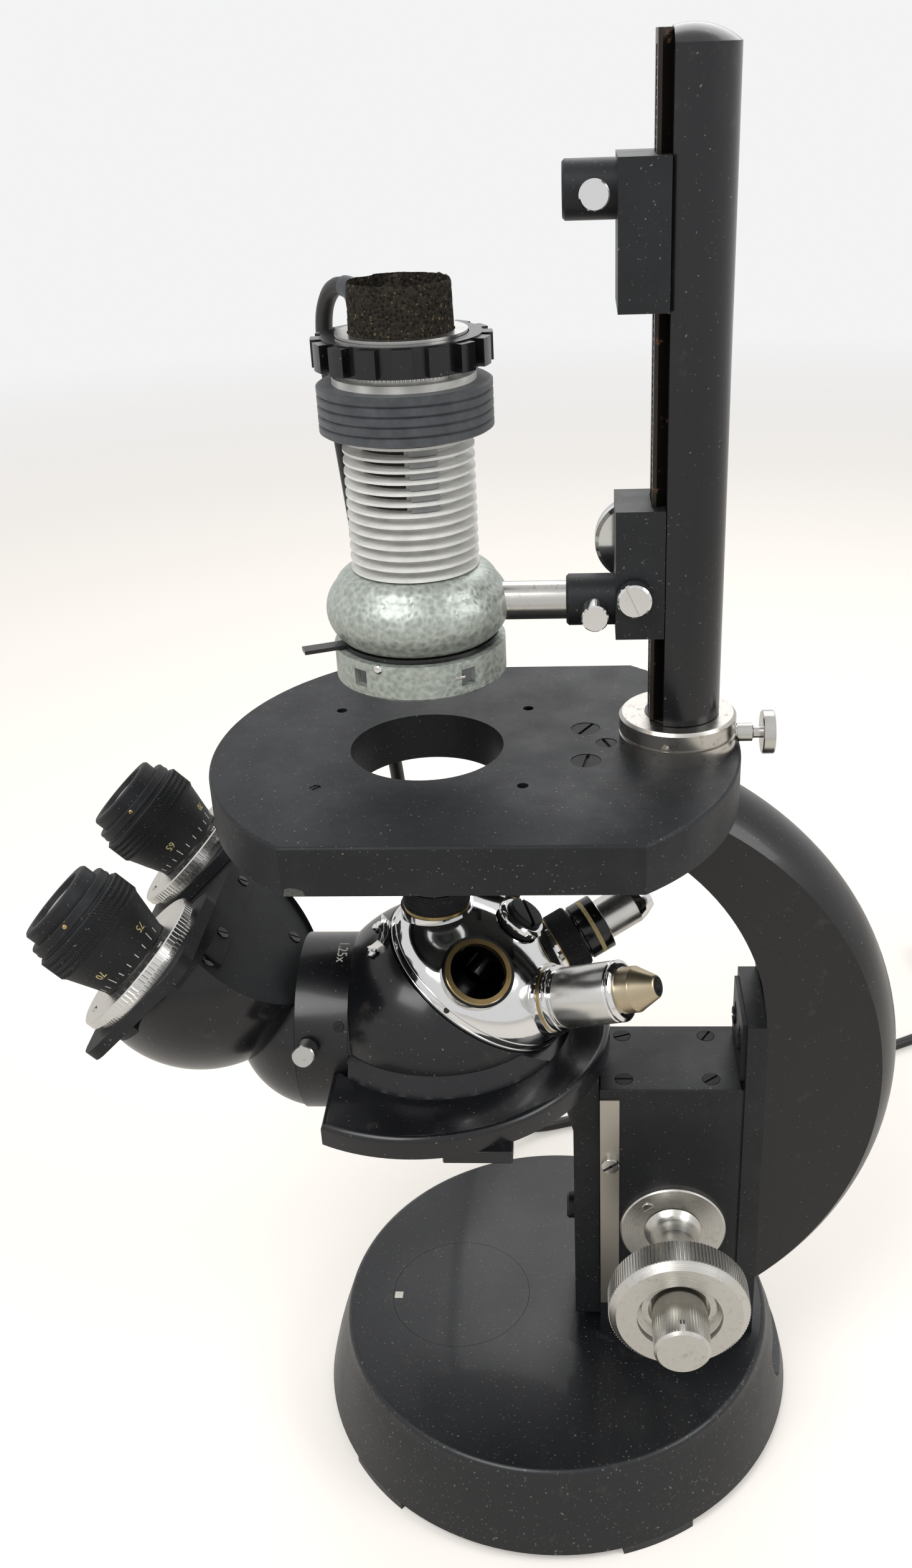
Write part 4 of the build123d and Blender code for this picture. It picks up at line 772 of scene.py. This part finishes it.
def makeScale(side, word):
    # ticks round the foot of the cone; every fifth is longer and has its number
    body = word + "_eyepiece"
    half = eyes["tickHalf"]
    verts, faces = [], []
    for number in range(eyes["firstTick"], eyes["lastTick"] + 1):
        turn = eyes["zeroTurn"][side] + (number - eyes["zeroTick"]) * eyes["tickTurn"]
        low, top = eyes["tickLow"], eyes["tickTop"] if number % 5 else eyes["longTickTop"]
        start = len(verts)
        for lift in (-0.05, 0.07):
            for a, e in ((-half, low), (half, low), (half, top), (-half, top)):
                verts.append(conePoint(side, turn + a, e, lift))
        for quad in ((3, 2, 1, 0), (4, 5, 6, 7), (0, 1, 5, 4), (1, 2, 6, 5), (2, 3, 7, 6), (3, 0, 4, 7)):
            faces.append([start + k for k in quad])
    makePiece(word + "_scale", verts, faces, body, [scaleWhite])
    for number in range(eyes["firstTick"], eyes["lastTick"], 5):
        turn = eyes["zeroTurn"][side] + (number - eyes["zeroTick"]) * eyes["tickTurn"]

        def bend(v):
            return conePoint(side, turn - math.degrees(v.x / eyes["numberR"]), eyes["numberTop"] - v.y, v.z)

        engrave(word + "_number_" + str(number), str(number), eyes["numberSize"], bend, body, scaleCream)


def makeEyeDetail():
    for side, word in ((-1, "near"), (1, "far")):
        axisPoint = headPoint(eyes["t"], side * eyes["spacing"], 0)
        carriage = word + "_carriage"
        body = word + "_eyepiece"
        for part, radius, low, high, teeth, depth, cross in eyes["knurls"]:
            rider, mats = (body, [mattBlack, mattBlack]) if cross else (carriage, [satinChrome, darkGrooveAndShade])
            knurledBand(word + part, radius, low, high, teeth, depth, axisPoint, eyeAxis, rider, mats,
                        cross=cross)
        makeScale(side, word)
        turnedPiece(word + "_eye_lens_face", lensOutline, axisPoint, eyeAxis, body, [lensGlass], soft=0.1,
                    steps=64)
        turnedPiece(word + "_cap_rib", capRibOutline, axisPoint, eyeAxis, body, [mattBlack], soft=0.1)
        dot, outward = aroundEye(side, eyes["dotE"], eyes["dotTurn"], eyes["dotR"])
        turnedPiece(word + "_cap_dot", capDotOutline, dot, outward, body, [dullBrass], soft=0.05, steps=20)
        for number, turn in enumerate(eyes["rivetTurns"]):
            spot, outward = aroundEye(side, eyes["rivetE"], turn, eyes["rivetR"])
            turnedPiece(word + "_ring_rivet_" + str(number), ringRivetOutline, spot, eyeAxis, carriage,
                        [brightSteel], soft=0.1, steps=24)


makeEyeDetail()
print("eyepieces done")

# Head cover: screws near its rim and the raised strip along its edge

cover = {"t": 76.4, "screws": ((15.2, 212.7), (-30.9, 241.3)), "screwR": 2.6, "stripSize": (8.8, 60.0, 1.8),
         "stripE": 240.6, "stripTop": 1.4, "stripScrews": (-14.0, 22.0), "stripScrewR": 2.4}


def makeCoverDetail():
    for number, (y, e) in enumerate(cover["screws"]):
        screwHead("cover_screw_" + str(number), cover["screwR"], 0.4, headPoint(cover["t"], y, e), coverAxis,
                  "head", bakelite, turn=120)
    turn = Matrix((eyeAxis, knobAxis, -coverAxis)).transposed().to_4x4()
    matrix = Matrix.Translation(headPoint(cover["t"], 0, cover["stripE"])) @ turn
    blockPiece("cover_strip", cover["stripSize"], (0, 0, -0.5), matrix, "head", coverBlack, soft=0.4)
    for number, y in enumerate(cover["stripScrews"]):
        spot = headPoint(cover["t"] + cover["stripTop"], y, cover["stripE"])
        screwHead("strip_screw_" + str(number), cover["stripScrewR"], 0.4, spot, coverAxis, "head", bakelite,
                  turn=120)


makeCoverDetail()

# Turret: objectives with their rings, the slotted pivot, skirt lines and a dark disc at each seat's index
# notch, painted shade

objectiveFinish = [mattBlack, bakelite, chrome, scaleCream, paleAlloy, satinChrome]
objectives = {
    "short": (0, "objective_short", [(0, 44.4, 2), (10.05, 44.4, 2), (10.05, 49.4, 0), (11.8, 49.4, 0),
              (11.8, 57.2, 1), (11.2, 57.4, 1), (11.2, 58.2, 1), (12.0, 58.6, 1), (12.0, 65.3, 1),
              (10.4, 65.8, 1), (10.4, 68.0, 3), (10.4, 69.4, 1), (10.4, 79.2, 2), (8.0, 79.8, 2),
              (8.0, 87.2, 2), (5.0, 90.5, 2), (5.0, 91.8, 0), (4.0, 91.8, 0), (3.4, 91.0, 0), (0, 91.0)]),
    "bright": (2, "objective_bright", [(0, 44.4, 2), (10.05, 44.4, 2), (10.05, 49.4, 2), (12.0, 49.4, 2),
               (12.0, 52.2, 2), (10.5, 52.4, 2), (10.5, 53.3, 2), (10.9, 53.6, 5), (10.9, 74.6, 2),
               (10.5, 74.9, 2), (10.5, 75.4, 2), (10.9, 75.7, 2), (10.9, 76.6, 2), (9.6, 77.4, 2),
               (8.1, 77.4, 4), (8.1, 82.6, 4), (7.6, 83.4, 4), (4.0, 90.2, 4), (3.4, 90.6, 0),
               (2.4, 90.6, 0), (1.8, 89.4, 0), (0, 89.4)]),
    "dark": (3, "objective_dark", [(0, 44.4, 2), (10.05, 44.4, 2), (10.05, 49.4, 0), (11.7, 49.4, 0),
             (11.7, 58.2, 1), (10.2, 58.4, 1), (10.2, 59.2, 1), (10.9, 59.5, 1), (10.9, 63.4, 3),
             (10.9, 65.0, 1), (10.9, 68.8, 2), (7.9, 69.2, 5), (7.9, 82.4, 2), (7.0, 85.4, 2),
             (5.0, 89.2, 2), (4.2, 89.4, 0), (3.4, 88.6, 0), (0, 88.6)]),
}


turretTrim = {
    "knurls": (("short_objective", 0, 11.85, 50.2, 56.6, 76, 0.25, 6),
               ("dark_objective", 3, 11.75, 50.2, 57.6, 76, 0.25, 6),
               ("stopper", 4, 12.4, 49.9, 54.0, 70, 0.3, 0)),
    "beads": ((37.55, 23.0), (37.35, 25.6)), "hubRise": 12.8, "pivotR": 6.7, "pivotHigh": 3.2,
    "hub": ((6.9, -0.5), (6.9, 0.9), (8.2, 0.9), (9.4, -0.2), (9.4, -1.4)),
    "notchHeight": 24.3, "notchR": 37.3,
}
notchShadeOutline = [(0, -1.0), (1.5, -1.0), (1.5, 0.1), (0.8, 0.2), (0, 0.2)]


def makeTurretDetail():
    for word, (seat, node, profile) in objectives.items():
        piece = turnedPiece(word + "_objective", profile, turretCentre, seatAxis(seat), "turret",
                            objectiveFinish)
        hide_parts(node)
    for word, seat, radius, low, high, teeth, depth, cross in turretTrim["knurls"]:
        knurledBand(word + "_knurl", radius, low, high, teeth, depth, turretCentre, seatAxis(seat), "turret",
                    [mattBlack, mattBlack], cross=cross)
    for number, (radius, height) in enumerate(turretTrim["beads"]):
        outline = [(radius - 0.8, height - 0.6), (radius, height - 0.45), (radius + 0.25, height),
                   (radius, height + 0.45), (radius - 0.8, height + 0.6)]
        turnedPiece("skirt_bead_" + str(number), outline, turretCentre, turretAxis, "turret", [chrome],
                    soft=0.1, steps=128)
    crown = turret["seatR"] * math.cos(turret["tilt"]) + turretTrim["hubRise"]
    screwHead("pivot_screw", turretTrim["pivotR"], turretTrim["pivotHigh"],
              turretCentre + turretAxis * crown * mm, turretAxis, "turret", mattBlack, turn=25, slot=0.12,
              crown=0.4)
    hub = [(radius, crown + rise) for radius, rise in turretTrim["hub"]]
    turnedPiece("pivot_hub_ring", hub, turretCentre, turretAxis, "turret", [chrome], soft=0.2)
    for number in range(turret["seats"]):
        seat = seatAxis(number)
        middle = (seat - turretAxis * seat.dot(turretAxis)).normalized()
        spot = turretCentre + (turretAxis * turretTrim["notchHeight"] + middle * turretTrim["notchR"]) * mm
        # painted shade: a small dark disc where each index notch is
        turnedPiece("click_notch_shade_" + str(number), notchShadeOutline, spot, middle, "turret", [darkGrooveAndShade], soft=0.1,
                    steps=20)


makeTurretDetail()
print("turret done")

# Housing: the click spring with its screws, the screws and factor of the light tube, the fork's stop block,
# and a pale line along the rim where the ball meets the fork, a painted highlight

housing = {
    "ballR": 44.0, "tubeZ": 177.9, "tubeR": 32.6, "tubeScrews": ((-74.0, -59.2, 32.6), (-64.2, -44.1, 32.2)),
    "factorX": -76.5, "factorTurn": -6, "factorSize": 5.2,
    "stopSize": (24.0, 9.0, 5.0), "stopAt": (-23.5, -60.5, -2.3), "stopBelow": 8.7,
    "springPath": ((-62.6, -13.5, 217.0), (-60.6, -13.6, 218.0), (-58.4, -12.6, 219.2), (-57.6, -8.0, 221.0),
                   (-58.2, 0.6, 221.6)),
    "springHalf": 2.6, "springFoot": -12, "springScrews": ((-62.6, -13.5, 217.0), (-61.8, -0.6, 219.6)),
    "highlightArcs": ((-128, -92), (-88, -58), (-52, -24)), "highlightZ": 178.15, "highlightSteps": 16,
}


def makeHousingDetail():
    ball = Vector(turret["centre"])
    for number, (x, turn, radius) in enumerate(housing["tubeScrews"]):
        a = math.radians(turn)
        outward = Vector((0, math.sin(a), math.cos(a)))
        spot = place(x, 0, housing["tubeZ"]) + outward * radius * mm
        screwHead("housing_screw_" + str(number), 1.9, 0.5, spot, outward, "nose_carrier", mattBlack,
                  turn=40)

    def bend(v):
        a = math.radians(housing["factorTurn"]) - v.x / housing["tubeR"]
        r = housing["tubeR"] + 0.05 + v.z
        return place(housing["factorX"] + v.y, r * math.sin(a), housing["tubeZ"] + r * math.cos(a))

    engrave("tube_factor", "1.25x", housing["factorSize"], bend, "nose_carrier", scaleWhite)
    low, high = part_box("yoke")
    under = Matrix.Translation(Vector((0, 0, high.z - housing["stopBelow"] * mm)))
    blockPiece("yoke_stop", housing["stopSize"], housing["stopAt"], under, "nose_carrier", enamel, soft=0.6)
    rings = []
    side = Vector((-0.5, 0.0, 0.6)).normalized() * housing["springHalf"]
    for spot in housing["springPath"]:
        out = (Vector(spot) - ball).normalized()
        foot = ball + out * (housing["ballR"] + 0.2)
        low, high = (0.0, 0.7) if spot[1] < housing["springFoot"] else (0.9, 1.6)
        rings.append([(foot + out * lift + side * way) * mm
                      for lift, way in ((low, -1), (high, -1), (high, 1), (low, 1))])
    loftPiece("click_spring", rings, "nose_carrier", chrome)
    for spot in housing["springScrews"]:
        out = (Vector(spot) - ball).normalized()
        foot = (ball + out * (housing["ballR"] + 0.9)) * mm
        screwHead("spring_screw_" + str(round(spot[2])), 2.1, 0.6, foot, out, "nose_carrier", chrome,
                  turn=15)
    # painted highlight: pale lines along the rim where the ball meets the fork
    for number, (first, last) in enumerate(housing["highlightArcs"]):
        rings = []
        for k in range(housing["highlightSteps"] + 1):
            a = math.radians(first + (last - first) * k / housing["highlightSteps"])
            thick = 0.13 + 0.12 * abs(math.sin(5.0 * a + number))
            ring = []
            for lift, out in ((-1, 0), (0, -1), (1, 0), (0, 1)):
                r = housing["ballR"] + out * thick
                height = housing["highlightZ"] + lift * thick
                ring.append(place(ball.x + r * math.cos(a), r * math.sin(a), height))
            rings.append(ring)
        loftPiece("seam_highlight_" + str(number), rings, "nose_carrier", seamHighlight)


makeHousingDetail()

# Stand: the white index square on the port cover, the gib's screw, the slotted plate's two screws
# and the chipped lacquer at the stage's lower front corner

standTrim = {
    "squareSize": (3.4, 3.4, 0.24), "squareAt": (-65.6, -1.7, 0.06), "gibScrew": (22.3, 125.7),
    "gibScrewR": 3.4, "slotScrews": ((9, -7.9), (8, 7.9)), "slotScrewR": 3.3,
    "chip": ((-78.1, 0.15), (-77.6, 2.6), (-76.0, 3.1), (-73.6, 2.7), (-71.9, 1.9), (-71.4, 0.2)),
}


def makeStandDetail():
    low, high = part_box("base_port_cover")
    flat = Matrix.Translation(Vector((0, 0, high.z)))
    blockPiece("index_square", standTrim["squareSize"], standTrim["squareAt"], flat, "stand", scaleWhite,
               soft=0.05)
    low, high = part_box("guide_gib")
    x, z = standTrim["gibScrew"]
    screwHead("gib_screw", standTrim["gibScrewR"], 1.95, Vector((x * mm, low.y, z * mm)), -knobAxis, "stand",
              brightSteel, turn=35)
    low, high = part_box("slot_plate")
    for number, y in standTrim["slotScrews"]:
        spot = Vector((low.x, y * mm, (low.z + high.z) / 2))
        screwHead("slot_screw_" + str(number), standTrim["slotScrewR"], 1.0, spot, Vector((-1, 0, 0)),
                  "stand", mattBlack, turn=30)
    low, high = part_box("stage")
    chip = standTrim["chip"]
    count = len(chip)
    verts = [Vector((x * mm, low.y + y * mm, low.z + z * mm)) for y in (-0.05, 0.4) for x, z in chip]
    faces = [tuple(range(count))[::-1], tuple(range(count, 2 * count))]
    for k in range(count):
        after = (k + 1) % count
        faces.append((after, after + count, k + count, k))
    makePiece("stage_chip", verts, faces, "stand", [chipGrey])


makeStandDetail()

# Lamp: the foam plug, the key tabs between the fins with painted shade for the vent slots beside them, the
# neck's knurls and the collar's rivet and window tab

lamp = {
    "coreR": 15.55, "finR": 20.4, "firstFin": 357.7, "pitch": 3.41, "gapHigh": 1.91,
    "openGaps": range(6, 12), "slotShadeTurns": (-147, -89), "tabTurns": (-84, -56),
    "foamR": 16.0, "foamLow": 424.4, "foamTop": 445.3,
    "foamWall": 0.45, "foamEdge": 0.6, "foamTaper": 0.8, "foamRound": 3.4, "foamCrown": 0.4,
    "foamRows": 56, "foamSteps": 140, "glandAt": (-52.9, 11.3), "glandClear": 4.5,
    "neck": (18.75, 417.2, 425.6), "rivetTurn": -113, "rivetR": 28.0, "rivetZ": 330.2,
    "windowTurn": -58, "windowR": 27.4, "windowZ": 326.2,
}
collarRivetOutline = [(0, -0.6), (1.5, -0.6), (1.5, 0.3), (1.0, 0.65), (0, 0.75)]


def aroundLamp(turn, radius, z):
    # a place round the lamp's axis, and the way out from the axis there
    a = math.radians(turn)
    out = Vector((math.cos(a), math.sin(a), 0))
    return place(*lampCentre, z) + out * radius * mm, out


def curvedBlock(name, inner, outer, low, high, turns, mat):
    steps = 10
    rings = []
    for k in range(steps + 1):
        turn = turns[0] + (turns[1] - turns[0]) * k / steps
        rings.append([aroundLamp(turn, r, z)[0]
                      for r, z in ((inner, low), (outer, low), (outer, high), (inner, high))])
    loftPiece(name, rings, "lamp", mat)


def foamOutline(share):
    # up the wall, round the edge and in over the crown
    wall, edge = lamp["foamWall"], lamp["foamEdge"]
    inset = lamp["foamTaper"] * wall
    shoulder = lamp["foamTop"] - lamp["foamRound"]
    if share < wall:
        return (lamp["foamR"] - lamp["foamTaper"] * share,
                lamp["foamLow"] + (shoulder - lamp["foamLow"]) * share / wall)
    if share < edge:
        a = (share - wall) / (edge - wall) * math.pi / 2
        return (lamp["foamR"] - inset - lamp["foamRound"] * (1 - math.cos(a)),
                shoulder + (lamp["foamRound"] - lamp["foamCrown"]) * math.sin(a))
    r = (lamp["foamR"] - inset - lamp["foamRound"]) * (1 - share) / (1 - edge)
    return r, lamp["foamTop"] - lamp["foamCrown"] * min(1, r / 12)


def makeFoam():
    # the skin is pitted with noise and pressed in where the cord's gland stands
    rows, steps = lamp["foamRows"], lamp["foamSteps"]
    verts = []
    cx, cy = lampCentre
    gx, gy = lamp["glandAt"]
    for row in range(rows + 1):
        share = row / rows
        r, z = foamOutline(share)
        for k in range(steps):
            a = 2 * math.pi * k / steps
            x, y = cx + r * math.cos(a), cy + r * math.sin(a)
            spot = Vector((x, y, z))
            pit = min(0, noise.noise(spot * 0.55) * 0.8 + noise.noise(spot * 1.3) * 0.9)
            pull = max(r, 0.01)
            x += (x - cx) / pull * pit * min(1, r / 6)
            y += (y - cy) / pull * pit * min(1, r / 6)
            z += pit if share > 0.5 else 0
            away = math.hypot(x - gx, y - gy)
            if away < lamp["glandClear"]:
                x = gx + (x - gx) / max(away, 0.01) * lamp["glandClear"]
                y = gy + (y - gy) / max(away, 0.01) * lamp["glandClear"]
            verts.append(place(x, y, z))
    plug = makePiece("foam_plug_skin", verts, ringFaces(rows, steps), "lamp", [sponge], sharp=80)
    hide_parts("foam_plug")


def makeLampDetail():
    for gap in lamp["openGaps"]:
        low = lamp["firstFin"] + gap * lamp["pitch"]
        high = low + lamp["gapHigh"]
        # painted shade: a dark sheet on the core where each vent slot opens
        curvedBlock("painted_slot_shade_" + str(gap), lamp["coreR"] - 0.5, lamp["coreR"] + 0.1, low, high,
                    lamp["slotShadeTurns"], darkGrooveAndShade)
        curvedBlock("key_tab_" + str(gap), lamp["coreR"] - 0.3, lamp["finR"] - 1.6, low, high,
                    lamp["tabTurns"], greyPaint)
    makeFoam()
    radius, low, high = lamp["neck"]
    knurledBand("lamp_neck_knurl", radius, low, high, 90, 0.35, place(*lampCentre, 0), lampAxis, "lamp",
                [brightSteel, darkGrooveAndShade])
    spot, out = aroundLamp(lamp["rivetTurn"], lamp["rivetR"], lamp["rivetZ"])
    turnedPiece("collar_rivet", collarRivetOutline, spot, out, "lamp", [chrome], soft=0.1, steps=24)
    matrix = frameAlong(*aroundLamp(lamp["windowTurn"], lamp["windowR"], lamp["windowZ"]))
    blockPiece("window_tab", (3.4, 1.0, 1.6), (0, 0, 0), matrix, "lamp", brightSteel, soft=0.2)


makeLampDetail()
print("lamp done")

# Light and ground

studio = {
    "floorTone": "#efebe6", "floorGlow": 0.32, "floorSize": 6.0, "fadeFrom": 1.1, "fadeTo": 2.4,
    "skyTone": "#f3f3f4", "worldTone": "#f6f4f0", "worldLight": 0.55, "aim": (0, 0, 200),
    "lights": (("key", (-500, -700, 1250), 9.0, 0.7), ("fill", (900, -300, 900), 4.0, 0.5),
               ("back", (200, 900, 1100), 4.0, 0.8)),
}


def makeFloor():
    # the card fades out far from the object, and glows a little in the camera's own view
    half = studio["floorSize"] / 2
    mat, shader, where = newMaterial("pale_floor_card", Roughness=0.9)
    shader.inputs["Base Color"].default_value = linear(studio["floorTone"])
    distance = addNode(mat, "VectorMath", {0: where}, operation="LENGTH")
    fade = addNode(mat, "MapRange", {0: distance.outputs["Value"], 1: studio["fadeFrom"],
                                     2: studio["fadeTo"], 3: 0.0, 4: 1.0})
    clear = addNode(mat, "BsdfTransparent")
    glow = addNode(mat, "Emission", {"Color": linear(studio["floorTone"]),
                                     "Strength": studio["floorGlow"]})
    rays = addNode(mat, "LightPath")
    lit = addNode(mat, "AddShader", {0: shader.outputs[0], 1: glow.outputs[0]})
    seen = addNode(mat, "MixShader", {0: rays.outputs["Is Camera Ray"], 1: shader.outputs[0],
                                      2: lit.outputs[0]})
    both = addNode(mat, "MixShader", {0: fade.outputs[0], 1: seen.outputs[0], 2: clear.outputs[0]})
    mat.node_tree.links.new(both.outputs[0], mat.node_tree.nodes["Material Output"].inputs[0])
    floor = makePiece("floor_card", [(-half, -half, 0), (half, -half, 0), (half, half, 0), (-half, half, 0)],
                      [(0, 1, 2, 3)], None, [mat])


def makeStudio():
    makeFloor()
    world = bpy.data.worlds.new("studio")
    world.use_nodes = True
    scene.world = world
    light = world.node_tree.nodes["Background"]
    light.inputs[0].default_value = linear(studio["worldTone"])
    light.inputs[1].default_value = studio["worldLight"]
    back = addNode(world, "Background", {0: linear(studio["skyTone"])})
    rays = addNode(world, "LightPath")
    direct = addNode(world, "Math", {0: rays.outputs["Is Camera Ray"],
                                     1: rays.outputs["Is Transmission Ray"]}, operation="MAXIMUM")
    seen = addNode(world, "Math", {0: direct.outputs[0], 1: rays.outputs["Is Glossy Ray"]},
                   operation="MAXIMUM")
    mix = addNode(world, "MixShader", {0: seen.outputs[0], 1: light.outputs[0], 2: back.outputs[0]})
    world.node_tree.links.new(mix.outputs[0], world.node_tree.nodes["World Output"].inputs[0])
    for name, spot, power, size in studio["lights"]:
        data = bpy.data.lights.new(name, "AREA")
        data.energy = power
        data.size = size
        lightObject = bpy.data.objects.new(name, data)
        scene.collection.objects.link(lightObject)
        away = place(*spot) - place(*studio["aim"])
        lightObject.matrix_world = frameAlong(place(*spot), away)


makeStudio()
scene.view_settings.view_transform = "Standard"
print("scene finished")
